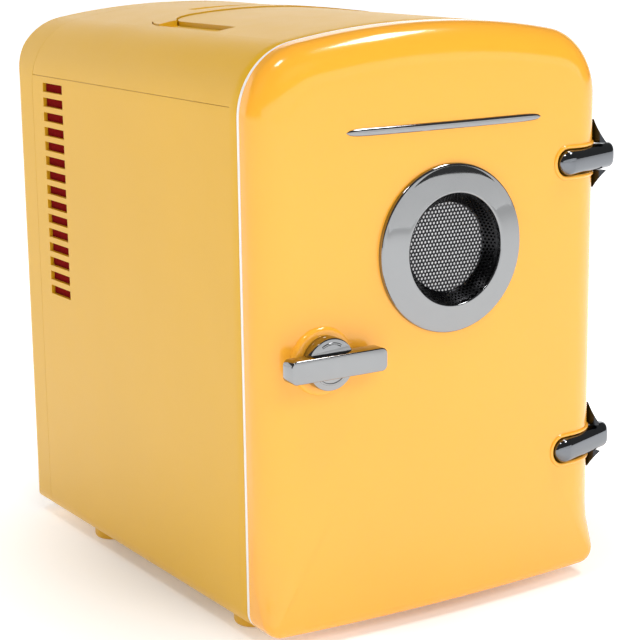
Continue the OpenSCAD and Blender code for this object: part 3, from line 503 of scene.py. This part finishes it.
@dataclass(frozen=True)
class Arch:
    """The fridge's front outline: a flat base with small corners, upright sides and an arched top."""

    half: float
    height: float = 263.0
    corner: float = 32.0
    arch: float = 366.0
    base: float = 8.5

    @property
    def corner_x(self) -> float:
        """How far out the top corners' centres stand."""
        return self.half - self.corner

    @property
    def arch_z(self) -> float:
        """Height of the centre of the top arch."""
        return self.height - self.arch

    @property
    def corner_z(self) -> float:
        """Height of the top corners' centres, where both arcs share a tangent."""
        return self.arch_z + math.sqrt((self.arch - self.corner) ** 2 - self.corner_x ** 2)

    @property
    def lean(self) -> float:
        """Angle at which a top corner meets the arch."""
        return math.atan2(self.corner_z - self.arch_z, self.corner_x)

    def top(self, x: np.ndarray | float, inset: float = 0.0) -> np.ndarray:
        """Height of the arch above a place across the fridge."""
        return self.arch_z + np.sqrt((self.arch - inset) ** 2 - np.asarray(x, dtype=float) ** 2)

    def base_points(self) -> tuple[np.ndarray, np.ndarray]:
        """Points round the outline from the right side's foot, counter-clockwise, and their outward normals."""
        centres, radii, angles = [], [], []

        def arc(cx: float, cz: float, r: float, a: float, b: float, n: int) -> None:
            angles.append(np.linspace(a, b, n))
            centres.append(np.tile([cx, cz], (n, 1)))
            radii.append(np.full(n, r))

        def line(x0: float, z0: float, x1: float, z1: float, angle: float, n: int) -> None:
            share = np.linspace(0.0, 1.0, n + 2)[1:-1, None]
            centres.append((1 - share) * [x0, z0] + share * [x1, z1])
            angles.append(np.full(n, angle))
            radii.append(np.zeros(n))

        half, base, cx, cz = self.half, self.base, self.corner_x, self.corner_z
        line(half, base, half, cz, 0.0, 30)
        arc(cx, cz, self.corner, 0.0, self.lean, 26)
        arc(0.0, self.arch_z, self.arch, self.lean + 0.004, math.pi - self.lean - 0.004, 50)
        arc(-cx, cz, self.corner, math.pi - self.lean, math.pi, 26)
        line(-half, cz, -half, base, math.pi, 30)
        arc(-half + base, base, base, math.pi, 1.5 * math.pi, 9)
        line(-half + base, 0.0, half - base, 0.0, 1.5 * math.pi, 26)
        arc(half - base, base, base, 1.5 * math.pi, TAU, 9)
        turn = np.concatenate(angles)
        normal = np.stack([np.cos(turn), np.sin(turn)], axis=-1)
        return np.concatenate(centres) + np.concatenate(radii)[:, None] * normal, normal

    def loop(self, inset: np.ndarray | float = 0.0) -> np.ndarray:
        """The outline moved inwards by inset, which may differ from point to point: P - inset N."""
        points, normal = self.base_points()
        depth = np.broadcast_to(np.asarray(inset, dtype=float), (len(points),))
        moved = points - depth[:, None] * normal
        corner = (np.abs(normal[:, 0]) > 1e-9) & (np.abs(normal[:, 1]) > 1e-9) & (points[:, 1] < self.base)
        over = np.minimum(depth, self.base - 0.4)
        flat = points - over[:, None] * normal
        extra = (depth - over)[:, None] * np.sign(normal)
        moved[corner] = (flat - extra)[corner]
        return moved


# ---------------------------------------------------------------- door


@dataclass
class Door:
    """The crowned door front with its bore, channels and latch seat, its gasket and the frame it shuts on."""

    arch: Arch
    back: float = -2.0
    side_face: float = -18.2
    crown: float = 5.0
    wall: float = 6.0
    inner: float = -11.0
    bore: float = 28.0
    speaker_z: float = 165.0
    latch: tuple[float, float] = (-64.8, 123.0)
    hinges: tuple[float, float] = (60.5, 196.5)
    arm_seat: float = -15.2
    arm_left: float = 62.6
    edge_side: float = 17.0
    edge_deep: float = 12.5
    channel: float = 6.25
    knuckle_left: float = 88.3
    opening: tuple[float, float, float] = (73.0, 22.0, 232.0)
    opening_r: float = 10.0

    def plane(self, x: np.ndarray | float) -> np.ndarray:
        """Depth of the crowned front: face - crown (1 - (x / half)^2)."""
        return self.side_face - self.crown * (1.0 - (np.asarray(x, dtype=float) / self.arch.half) ** 2)

    def edge(self, points: np.ndarray) -> tuple[np.ndarray, np.ndarray]:
        """Width and depth of the edge rounding at each outline point, which tightens towards the foot."""
        share = np.clip((points[:, 1] - 2.0) / 26.0, 0.0, 1.0)
        share = share * share * (3.0 - 2.0 * share)
        return 5.0 + (self.edge_side - 5.0) * share, 4.0 + (self.edge_deep - 4.0) * share

    def skin(self, x: np.ndarray) -> np.ndarray:
        """Depth of the door across its upright middle, with the rounded edge: plane + d (1 - sin p)."""
        cosine = 1.0 - np.clip((self.arch.half - np.abs(x)) / self.edge_side, 0.0, 1.0)
        return self.plane(x) + self.edge_deep * (1.0 - np.sqrt(1.0 - cosine ** 2))

    def shell(self) -> bpy.types.Object:
        """Builds the door front as rings from its back edge, over its rounded rim and face, into the bore.

        The rim at turn p is P - w (1 - cos p) N at depth plane + d (1 - sin p); the face runs straight from it
        to the bore.
        """
        points, _ = self.arch.base_points()
        wide, deep = self.edge(points)
        rows = [ring3(self.arch.loop(self.wall), self.back - 2.0), ring3(self.arch.loop(2.6), self.back),
                ring3(self.arch.loop(0.5), self.back), ring3(self.arch.loop(0.0), self.back - 0.5)]
        for turn in np.linspace(0.0, math.pi / 2, 15):
            flat = self.arch.loop(wide * (1.0 - math.cos(turn)))
            rows.append(ring3(flat, self.plane(flat[:, 0]) + deep * (1.0 - math.sin(turn))))
        rim = rows[-1][:, [0, 2]]
        ray = rim - [0.0, self.speaker_z]
        mouth = self.bore * ray / np.linalg.norm(ray, axis=1, keepdims=True) + [0.0, self.speaker_z]
        for share in np.linspace(0.0, 1.0, 18)[1:]:
            flat = rim + share * (mouth - rim)
            rows.append(ring3(flat, self.plane(flat[:, 0])))
        rows.append(ring3(mouth, self.inner))
        for share in (0.4, 0.8):
            rows.append(ring3(mouth + share * (self.arch.loop(self.wall + 2.0) - mouth), self.inner))
        rows.append(ring3(self.arch.loop(self.wall), self.inner + 1.5))
        door = surface("door_front", np.array(rows), wrap_rows=True)
        cutters, ahead, beyond = [], -40.0, 110.0
        for z in self.hinges:
            path = stadium(self.arm_left - 0.3, beyond, z, self.channel)
            cutters.append(prism("channel", path, ahead, self.arm_seat))
            cutters.append(rounded_box("knuckle_room", (self.knuckle_left, ahead, z - self.channel),
                                       (beyond, -3.3, z + self.channel), 0.3, 2))
        cutters.append(prism("spindle_hole", circle(*self.latch, 5.0), ahead, 0.0))
        cut(door, cutters)
        return smooth(outward(door), 30.0)

    def boss(self) -> bpy.types.Object:
        """Builds the low round seat under the latch."""
        x, z = self.latch
        profile = [(5.2, -19.0), (15.2, -19.0), (14.9, -21.2), (14.4, -21.9), (13.7, -22.2), (12.6, -22.3),
                   (5.2, -22.3)]
        return smooth(lathe("latch_seat", profile, (x, 0.0, z)))

    def rim(self, z: float, name: str) -> bpy.types.Object:
        """Builds the raised lip round a hinge arm's rounded end."""
        reach, out = self.arch.half - 0.9, 7.05
        path = stadium(self.arm_left - 1.05, reach, z, out, 30)[:-2]
        lead = np.linspace(reach, path[0, 0], 26)[:-1]
        upper = np.stack([lead, np.full(25, z + out)], axis=-1)
        lower = np.stack([lead[::-1], np.full(25, z - out)], axis=-1)
        line = np.concatenate([upper, path, lower])
        route = np.stack([line[:, 0], self.skin(line[:, 0]) + 0.15, line[:, 1]], axis=-1)
        turn = np.linspace(0.0, TAU, 20, endpoint=False)
        section = np.stack([1.0 * np.cos(turn), 1.0 * np.sin(turn)], axis=-1)
        lean = (self.skin(line[:, 0] + 0.05) - self.skin(line[:, 0] - 0.05)) / 0.1
        normals = np.stack([lean, np.full(len(route), -1.0), np.zeros(len(route))], axis=-1)
        return smooth(sweep(name, route, section, normals), 60.0)

    def gasket(self) -> bpy.types.Object:
        """Builds the soft white seal between door and cabinet as a closed lip round the outline."""
        front, end, deep = self.back, -0.05, 7.0
        section = [(0.5, front), (0.2, front + 0.1), (0.12, front / 2), (0.2, end - 0.07), (0.5, end),
                   (deep, end), (deep, front)]
        rows = [ring3(self.arch.loop(inset), y) for inset, y in section]
        return smooth(surface("seal", np.array(rows), wrap_rows=True))

    def band(self) -> bpy.types.Object:
        """Builds the cabinet's front frame, flush with the wall behind it, round its opening with soft edges.

        The opening is a rounded rectangle: C + r (P - C) / |P - C|, C being P held inside the corners' centres.
        """
        half, low, high = self.opening
        radius, front, rear, soft = self.opening_r, 0.0, 6.05, 0.5
        points = self.arch.loop(soft)
        centre = np.clip(points, [radius - half, low + radius], [half - radius, high - radius])
        ray = points - centre
        ray /= np.linalg.norm(ray, axis=1, keepdims=True)
        edge = [(3.0, rear), (0.0, rear), (0.0, soft), (0.12, 0.16), (soft, front)]
        lip = [(soft, front), (0.15, 0.15), (0.0, soft), (0.0, rear - 0.25)]
        rows = [ring3(self.arch.loop(inset), y) for inset, y in edge]
        rows += [ring3(centre + (radius + more) * ray, y) for more, y in lip]
        rows.append(ring3(self.arch.loop(3.0), rear - 0.25))
        return smooth(surface("front_band", np.array(rows), wrap_rows=True))

    def build(self) -> None:
        """Builds and finishes every piece of the door, and the frame it shuts on."""
        fit_out(self.shell(), Finish.DOOR, "door", "gloss_yellow", "door_shell")
        fit_out(self.boss(), Finish.DOOR, "door", "gloss_yellow", "door_shell")
        for z, name in zip(self.hinges, ("arm_lip_lower", "arm_lip_upper")):
            fit_out(self.rim(z, name), Finish.DOOR, "door", "gloss_yellow", "door_shell")
        fit_out(self.gasket(), Finish.GASKET, "door", "gasket", "door_gasket")
        fit_out(self.band(), Finish.CABINET, "cabinet", "matte_yellow", "front_frame")


# ---------------------------------------------------------------- speaker


@dataclass
class Speaker:
    """The chrome ring, the dished black grille and the bright cone behind it."""

    x: float = 1.0
    z: float = 165.0
    outer: float = 37.5
    inner: float = 24.7
    front: float = -27.4
    lip: float = -25.0
    floor_y: float = -19.8
    floor: float = 20.0
    pitch: float = 1.85
    hole: float = 0.62

    def ring(self) -> bpy.types.Object:
        """Builds the ring: a round outer edge, a broad face rising inwards and a fine inner edge."""
        r, inner = self.outer, self.inner
        turn = np.linspace(0.0, math.pi / 2, 7)
        edge = [(r - 1.0 + 1.0 * math.cos(a), self.lip + 1.0 - 1.0 * math.sin(a)) for a in turn]
        share = np.linspace(0.0, 1.0, 12)[1:]
        rise = self.front - self.lip
        face = [(r - 1.0 - s * (r - 1.9 - inner), self.lip + rise * s ** 0.85) for s in share]
        rim = [(inner + 0.55, self.front - 0.02), (inner + 0.2, self.front + 0.15), (inner, self.front + 0.5),
               (inner, -14.2), (27.7, -14.2), (27.7, -21.6), (r, -21.6)]
        return smooth(lathe("speaker_ring", edge + face + rim, (self.x, 0.0, self.z), count=160), 40.0)

    def dish(self, flat: np.ndarray) -> np.ndarray:
        """Bends flat (u, v) places into the dish.

        The slope is a(p) = A S((p - floor + 0.9) / 1.8) with S the smooth step; radius and rise are the running
        sums of cos a and sin a along the flat radius p.
        """
        run = np.linspace(0.0, 32.0, 1281)
        share = np.clip((run - self.floor + 0.9) / 1.8, 0.0, 1.0)
        slope = math.radians(58.0) * share * share * (3.0 - 2.0 * share)
        step = run[1] - run[0]
        radius = np.cumsum(np.cos(slope)) * step
        rise = np.cumsum(np.sin(slope)) * step
        p = np.linalg.norm(flat, axis=-1)
        scale = np.interp(p, run, radius) / np.maximum(p, 1e-6)
        y = self.floor_y - np.interp(p, run, rise)
        return np.stack([flat[..., 0] * scale + self.x, y, flat[..., 1] * scale + self.z], axis=-1)

    def grille(self) -> bpy.types.Object:
        """Builds the perforated sheet: a six-sided cell round every hole, bent into the dish and thickened."""
        reach = 27.6
        n = int(reach / self.pitch) + 3
        i, j = np.meshgrid(np.arange(-n, n + 1), np.arange(-n, n + 1))
        rise = j * self.pitch * math.sqrt(0.75)
        seat = np.stack([(i + 0.5 * (j % 2)) * self.pitch, rise], axis=-1).reshape(-1, 2)
        seat = seat[np.linalg.norm(seat, axis=1) < reach]
        turn = np.arange(12) * TAU / 12.0 + TAU / 12.0
        six = self.pitch / math.sqrt(3.0) * np.where(np.arange(12) % 2 == 0, 1.0, math.sqrt(0.75))
        spin = np.stack([np.cos(turn), np.sin(turn)], axis=-1)
        rim = seat[:, None] + six[None, :, None] * spin
        lip = seat[:, None] + self.hole * spin[None]
        flat = np.stack([rim, lip], axis=1).reshape(-1, 2)
        k = np.arange(12)
        cell = np.stack([k, (k + 1) % 12, 12 + (k + 1) % 12, 12 + k], axis=-1)
        faces = (24 * np.arange(len(seat))[:, None, None] + cell).reshape(-1, 4)
        sheet = outward(mesh_object("grille_sheet", self.dish(flat), faces.tolist()), 1e-5)
        thick = sheet.modifiers.new("thickness", "SOLIDIFY")
        thick.thickness = 0.3 * MM
        thick.offset = 0.0
        apply_modifiers(sheet)
        band = lathe("band", [(24.65, -24.0), (24.65, -25.6), (24.0, -25.8), (23.4, -25.2), (23.6, -24.0)],
                     (self.x, 0.0, self.z))
        return smooth(join("speaker_mesh", [sheet, band]), 35.0)

    def cone(self) -> bpy.types.Object:
        """Builds the bright drive cone and dust cap just behind the mesh."""
        profile = [(0.02, -15.5), (6.0, -15.2), (12.0, -14.2), (18.0, -12.6), (18.0, -12.0), (0.02, -13.0)]
        return smooth(lathe("bright_cone", profile, (self.x, 0.0, self.z)))

    def scrim(self) -> bpy.types.Object:
        """Builds the silvered cloth stretched behind the flat middle of the mesh."""
        y = self.floor_y + 0.22
        profile = [(0.02, y), (self.floor - 0.4, y), (self.floor - 0.2, y + 0.1), (0.02, y + 0.2)]
        return smooth(lathe("silver_scrim", profile, (self.x, 0.0, self.z)))

    def build(self) -> None:
        """Builds and finishes every piece of the speaker."""
        fit_out(self.ring(), Finish.CHROME, "door", "chrome", "speaker_bezel")
        fit_out(self.grille(), Finish.MESH, "door", "black_mesh", "speaker_grille")
        fit_out(self.scrim(), Finish.SILVER, "door", "black_mesh", "speaker_grille")
        fit_out(self.cone(), Finish.SILVER, "cone", "paper_cone", "speaker_cone")


# ---------------------------------------------------------------- latch


@dataclass
class Latch:
    """The turned chrome handle: a flat bar on a round hub that stands a step behind it."""

    x: float = -64.8
    z: float = 123.0
    radius: float = 11.6
    front: float = -33.8
    step: float = 5.2
    foot: float = -22.7
    left: float = 23.0
    right: float = 25.0
    high: float = 10.2
    thick: float = 7.8
    corner: float = 2.8
    edge: float = 0.6

    def crescent(self, sign: float, radius: float, front: float, half: float) -> bpy.types.Object:
        """Builds one fine curved ridge on the hub's face, a swept round section half sunk in it."""
        t = np.linspace((0.5 - half) * math.pi, (0.5 + half) * math.pi, 30)
        path = np.stack([self.x + radius * np.cos(t), np.full(30, front), self.z + sign * radius * np.sin(t)],
                        axis=-1)
        turn = np.linspace(0.0, TAU, 14, endpoint=False)
        section = np.stack([0.55 * np.cos(turn), 0.32 * np.sin(turn)], axis=-1)
        return sweep("crescent", path, section, np.tile([0.0, -1.0, 0.0], (30, 1)))

    def bar(self) -> bpy.types.Object:
        """Builds the bar with its round-cornered ends."""
        outline = rounded_outline(self.x - self.left, self.x + self.right, self.z - self.high / 2,
                                  self.z + self.high / 2, self.corner)
        return bevel(prism("bar", outline, self.front, self.front + self.thick), self.edge, 3, 40.0)

    def hub(self) -> bpy.types.Object:
        """Builds the hub: a turned disc with a soft front edge and a fine curved line above and below."""
        face, r = self.front + self.step, self.radius
        profile = [(0.01, self.foot), (r - 0.6, self.foot), (r, self.foot - 0.5), (r, face + 0.9),
                   (r - 0.25, face + 0.3), (r - 0.9, face), (0.01, face)]
        disc = lathe("hub", profile, (self.x, 0.0, self.z))
        upper, lower = self.crescent(1.0, 9.0, face, 0.17), self.crescent(-1.0, 8.6, face, 0.24)
        return join("grip_hub", [disc, upper, lower])

    def build(self) -> None:
        """Builds and finishes the handle."""
        handle = join("latch_grip", [self.bar(), self.hub()])
        fit_out(smooth(outward(handle), 34.0), Finish.CHROME, "latch", "chrome", "latch_handle")


# ---------------------------------------------------------------- hinges and trim


@dataclass
class Hinge:
    """One chrome hinge: a ball-ended arm let into the door and a flared bracket on the cabinet."""

    z: float
    tag: str
    start: tuple[float, float] = (69.0, -18.9)
    axis: tuple[float, float] = (99.0, -9.5)
    radius: float = 6.0
    round: float = 5.4
    half: float = 92.5
    clear: float = 6.4
    flare: float = 3.4
    above: float = 17.2
    below: float = 14.6
    nose: float = 5.95

    def arm(self) -> bpy.types.Object:
        """Builds the arm as rings of a lengthwise run from its ball end to its rounded knuckle end.

        A ring at run t stands on the centre line start + t (axis - start), upright and square to it. Its half
        height is 6 and its half width eases from 6 to 5.4; both shrink as sqrt(1 - u^2) into the ball, and
        the far end shrinks in width only, so that it turns over like an upright cylinder with soft corners.
        """
        start, axis = np.array(self.start), np.array(self.axis)
        ahead = (axis - start) / np.linalg.norm(axis - start)
        side = np.array([-ahead[1], ahead[0]])
        reach = float(np.linalg.norm(axis - start))
        ball, end = np.linspace(-1.0, 0.0, 14)[:-1], np.linspace(0.0, 1.0, 14)
        near, far = 0.5 * math.pi * ball, 0.5 * math.pi * end[1:]
        run = np.concatenate([self.radius * np.sin(near), np.linspace(0.0, reach, 12),
                              reach + self.round * np.sin(far)])
        width = np.concatenate([self.radius * np.cos(near), np.linspace(self.radius, self.round, 12),
                                self.round * np.cos(far)])
        tall = np.concatenate([self.radius * np.cos(near), np.full(12, self.radius),
                               self.radius * (1.0 - 0.22 * end[1:] ** 3)])
        turn = np.linspace(0.0, TAU, 64, endpoint=False)
        square = 1.0 / (np.abs(np.cos(turn)) ** 2.8 + np.abs(np.sin(turn)) ** 2.8) ** (1 / 2.8)
        across = np.maximum(width, 0.02)[:, None] * (square * np.cos(turn))[None]
        up = np.maximum(tall, 0.02)[:, None] * (square * np.sin(turn))[None]
        centre = start + run[:, None] * ahead
        grid = np.stack([centre[:, 0, None] + across * side[0], centre[:, 1, None] + across * side[1],
                         self.z + up], axis=-1)
        return smooth(surface(f"hinge_bar_{self.tag}", grid, cap_ends=True), 40.0)

    def slab(self, low: float, high: float, front: float, tall: float) -> bpy.types.Object:
        """Builds the part of the bracket between two heights from the hinge's middle, behind depth front.

        At height h its outer face stands at X(h) = half + 0.6 + flare (1 - (|h| - clear) / (tall - clear))^1.7,
        rounded down to the cabinet towards the back; its nose is round about the pin and leans back with |h|.
        """
        h = np.linspace(low, high, 22)
        away = np.clip((np.abs(h) - self.clear) / (tall - self.clear), 0.0, 1.0)
        reach = self.half + 0.6 + self.flare * (1.0 - away) ** 1.7
        ax, ay = self.axis
        step = np.linspace(0.0, 1.0, 30)
        nose = np.maximum(front, ay - 5.9 + 5.4 * away)
        y = nose[:, None] + (28.5 - 9.0 * away - nose)[:, None] * (step ** 1.6)[None]
        bulge = self.nose * np.sqrt(1.0 - np.clip((ay - y) / self.nose, 0.0, 1.0) ** 2)
        back = np.clip((y - 9.0) / (19.6 - 9.0 * away)[:, None], 0.0, 1.0)
        foot = self.half + 0.4
        right = np.minimum(ax + bulge, foot + (reach - foot)[:, None] * np.sqrt(1.0 - back ** 2))
        left = np.where(y < ay, ax - bulge, np.where(y < 6.0, self.half + 0.45, self.half + 0.05))
        left = np.minimum(left, right - 0.04)
        plan = np.concatenate([np.stack([left, y], axis=-1), np.stack([right, y], axis=-1)[:, ::-1]], axis=1)
        level = np.repeat((self.z + h)[:, None], plan.shape[1], axis=1)
        grid = np.stack([plan[..., 0], plan[..., 1], level], axis=-1)
        return surface("slab", grid, cap_ends=True)

    def bracket(self) -> bpy.types.Object:
        """Builds the bracket: a flared fin above and below the arm and a web behind the arm's knuckle."""
        edge, open_front = self.clear - 0.05, -99.0
        parts = [self.slab(edge, self.above, open_front, self.above),
                 self.slab(-self.below, -edge, open_front, self.below),
                 self.slab(-edge - 0.01, edge + 0.01, -0.7, self.above)]
        return smooth(join(f"hinge_horn_{self.tag}", parts), 38.0)

    def build(self) -> None:
        """Builds and finishes the arm and its bracket."""
        # The arm's finish is darkened chrome that carries painted shade.
        fit_out(self.arm(), Finish.ARM_PAINTED_SHADE, "door", "chrome", f"hinge_arm_{self.tag}", "arm_screws")
        # The bracket's finish is near-black chrome that carries painted shade and painted dark reflection.
        fit_out(self.bracket(), Finish.BRACKET_PAINTED_SHADE, "cabinet", "chrome", f"hinge_bracket_{self.tag}",
                f"hinge_pin_{self.tag}", "bracket_screws")


@dataclass
class Trim:
    """The slim chrome strip above the speaker, bent to the door's crown."""

    door: Door
    z: float = 219.0
    half: float = 52.0
    high: float = 1.8
    thick: float = 1.6

    def build(self) -> None:
        """Builds and finishes the strip: a lens-shaped section carried across the crown with tapering ends."""
        x = np.linspace(-self.half, self.half, 61)
        taper = np.sqrt(np.clip(1.0 - (np.abs(x) / self.half) ** 14, 0.0004, 1.0))
        turn = np.linspace(0.0, TAU, 24, endpoint=False)
        up = self.high * np.sign(np.sin(turn)) * np.abs(np.sin(turn)) ** 0.7
        out = 0.3 - (self.thick - 0.3) * np.clip(np.cos(turn), -0.2, 1.0)
        depth = self.door.plane(x)[:, None] + taper[:, None] * out[None]
        grid = np.stack([np.repeat(x[:, None], 24, axis=1), depth, self.z + taper[:, None] * up[None]], axis=-1)
        strip = smooth(surface("trim_strip", grid, cap_ends=True), 50.0)
        fit_out(strip, Finish.CHROME, "door", "chrome", "trim_bar")


@dataclass
class Filters:
    """The red felt sheets that show through the louvres on both sides."""

    near: float = 89.2
    far: float = 90.6
    depths: tuple[float, float] = (169.5, 194.5)
    heights: tuple[float, float] = (119.0, 230.0)

    def build(self) -> None:
        """Builds and finishes one thin sheet behind each side's slots."""
        (front, back), (foot, head) = self.depths, self.heights
        for name, low, high in (("filter_left", -self.far, -self.near), ("filter_right", self.near, self.far)):
            sheet = rounded_box(name, (low, front, foot), (high, back, head), 0.4, 3)
            fit_out(smooth(sheet), Finish.RED, "cabinet", "red_filter", "dust_filters")


# ---------------------------------------------------------------- studio


@dataclass(frozen=True)
class Eye:
    """The camera: its place in millimetres on the fridge's axes, how it is turned, and its lens."""

    place: tuple[float, float, float] = (-474.9, -666.2, 312.8)
    yaw: float = 32.38
    pitch: float = 12.67
    roll: float = 0.74
    lens: float = 104.175

    def build(self) -> None:
        """Sets up the camera looking along its own axis, turned by yaw, then pitch, then roll."""
        yaw, pitch, roll = (math.radians(a) for a in (self.yaw, self.pitch, self.roll))
        ahead = np.array([math.sin(yaw) * math.cos(pitch), math.cos(yaw) * math.cos(pitch), -math.sin(pitch)])
        right = np.array([math.cos(yaw), -math.sin(yaw), 0.0])
        down = np.cross(ahead, right)
        level, tilt = math.cos(roll), math.sin(roll)
        right, down = right * level + down * tilt, down * level - right * tilt
        camera = bpy.data.objects.new("camera", bpy.data.cameras.new("camera"))
        bpy.context.scene.collection.objects.link(camera)
        turn = np.eye(4)
        turn[:3, 0], turn[:3, 1], turn[:3, 2] = right, -down, -ahead
        turn[:3, 3] = DATUM.place(np.array(self.place))
        camera.matrix_world = turn.T.tolist()
        camera.data.lens = self.lens
        camera.data.sensor_width = 36.0
        camera.data.clip_start, camera.data.clip_end = 0.02, 100.0
        bpy.context.scene.camera = camera


@dataclass(frozen=True)
class Lamp:
    """A soft box: where it hangs, where it points, its size and its power."""

    name: str
    place: tuple[float, float, float]
    size: tuple[float, float]
    power: float
    aim: tuple[float, float, float] = (0.0, 0.0, 0.13)
    mirrored: bool = False

    def build(self) -> None:
        """Hangs the lamp and turns it to its aim."""
        light = bpy.data.lights.new(self.name, "AREA")
        light.shape = "RECTANGLE"
        light.size, light.size_y = self.size
        light.energy = self.power
        lamp = bpy.data.objects.new(self.name, light)
        bpy.context.scene.collection.objects.link(lamp)
        back = np.array(self.place) - np.array(self.aim)
        back /= np.linalg.norm(back)
        side = np.cross([0.0, 0.0, 1.0], back)
        side = side / np.linalg.norm(side) if np.linalg.norm(side) > 1e-6 else np.array([1.0, 0.0, 0.0])
        turn = np.eye(4)
        turn[:3, 0], turn[:3, 1], turn[:3, 2], turn[:3, 3] = side, np.cross(back, side), back, self.place
        lamp.matrix_world = turn.T.tolist()
        lamp.visible_glossy = self.mirrored


@dataclass
class Studio:
    """A bright floor without a horizon, a pale wall behind, soft boxes and a dim room."""

    eye: Eye = field(default_factory=Eye)
    room: float = 0.10
    lamps: tuple[Lamp, ...] = (
        Lamp("streak_box", (0.78, -0.5, 1.9), (0.55, 0.35), 15.0, mirrored=True),
        Lamp("oval_box", (-0.75, -0.2, 2.0), (0.3, 0.3), 6.0, mirrored=True),
        Lamp("front_box", (-0.3, -2.6, 2.2), (2.2, 1.2), 40.0),
        Lamp("left_box", (-2.6, -0.2, 2.0), (1.4, 1.2), 17.0),
    )

    def sheet(self, name: str, corners: Sequence[Sequence[float]], near: float, far: float) -> bpy.types.Object:
        """Lays one flat, softly glowing sheet of the stage; its glow grows from near the fridge outwards."""
        mesh = bpy.data.meshes.new(name)
        mesh.from_pydata([tuple(c) for c in corners], [], [(0, 1, 2, 3)])
        piece = bpy.data.objects.new(name, mesh)
        bpy.context.scene.collection.objects.link(piece)
        g = Graph(name)
        g.link(g.ramp(g.noise(0.7), 0.3, 0.7, (0.82,) * 3, (0.84,) * 3), g.shader.inputs["Base Color"])
        away = g.tree.nodes.new("ShaderNodeVectorMath")
        away.operation = "LENGTH"
        g.link(g.coords, away.inputs[0])
        grow = g.tree.nodes.new("ShaderNodeMapRange")
        for key, value in (("From Min", 0.1), ("From Max", 0.24), ("To Min", near), ("To Max", far)):
            grow.inputs[key].default_value = value
        g.link(away.outputs["Value"], grow.inputs["Value"])
        g.link(grow.outputs["Result"], g.shader.inputs["Emission Strength"])
        g.set(Roughness=0.9, Specular_IOR_Level=0.1, Emission_Color=(1.0, 1.0, 1.0, 1.0))
        mesh.materials.append(g.material)
        return piece

    def build(self) -> None:
        """Builds the floor, the walls, the lamps, the room light and the camera."""
        self.sheet("floor", [(-30, -30, 0), (30, -30, 0), (30, 30, 0), (-30, 30, 0)], 0.18, 0.85)
        self.sheet("back_wall", [(-16, 12, 0), (24, 12, 0), (24, 12, 7), (-16, 12, 7)], 0.8, 0.8)
        self.sheet("front_wall", [(-16, -9, 0), (24, -9, 0), (24, -9, 2.6), (-16, -9, 2.6)], 0.75, 0.75)
        for lamp in self.lamps:
            lamp.build()
        world = bpy.data.worlds.new("room")
        world.use_nodes = True
        world.node_tree.nodes["Background"].inputs["Color"].default_value = (1.0, 1.0, 1.0, 1.0)
        world.node_tree.nodes["Background"].inputs["Strength"].default_value = self.room
        bpy.context.scene.world = world
        bpy.context.scene.view_settings.view_transform = "Standard"
        self.eye.build()


# ---------------------------------------------------------------- the whole fridge


def main() -> None:
    """Dresses the frame, builds the visible pieces and sets up the studio."""
    logging.basicConfig(level=logging.INFO, format="%(name)s: %(message)s")
    dress_frame_nodes()
    low, high = span("front_frame")
    arch = Arch(half=float(high[0] - low[0]) / 2.0)
    door = Door(arch)
    hinges = [Hinge(z, tag) for z, tag in zip(door.hinges, ("lower", "upper"))]
    for part in (door, Speaker(), Latch(), *hinges, Trim(door), Filters()):
        part.build()
    Studio().build()


if __name__ == "__main__":
    main()
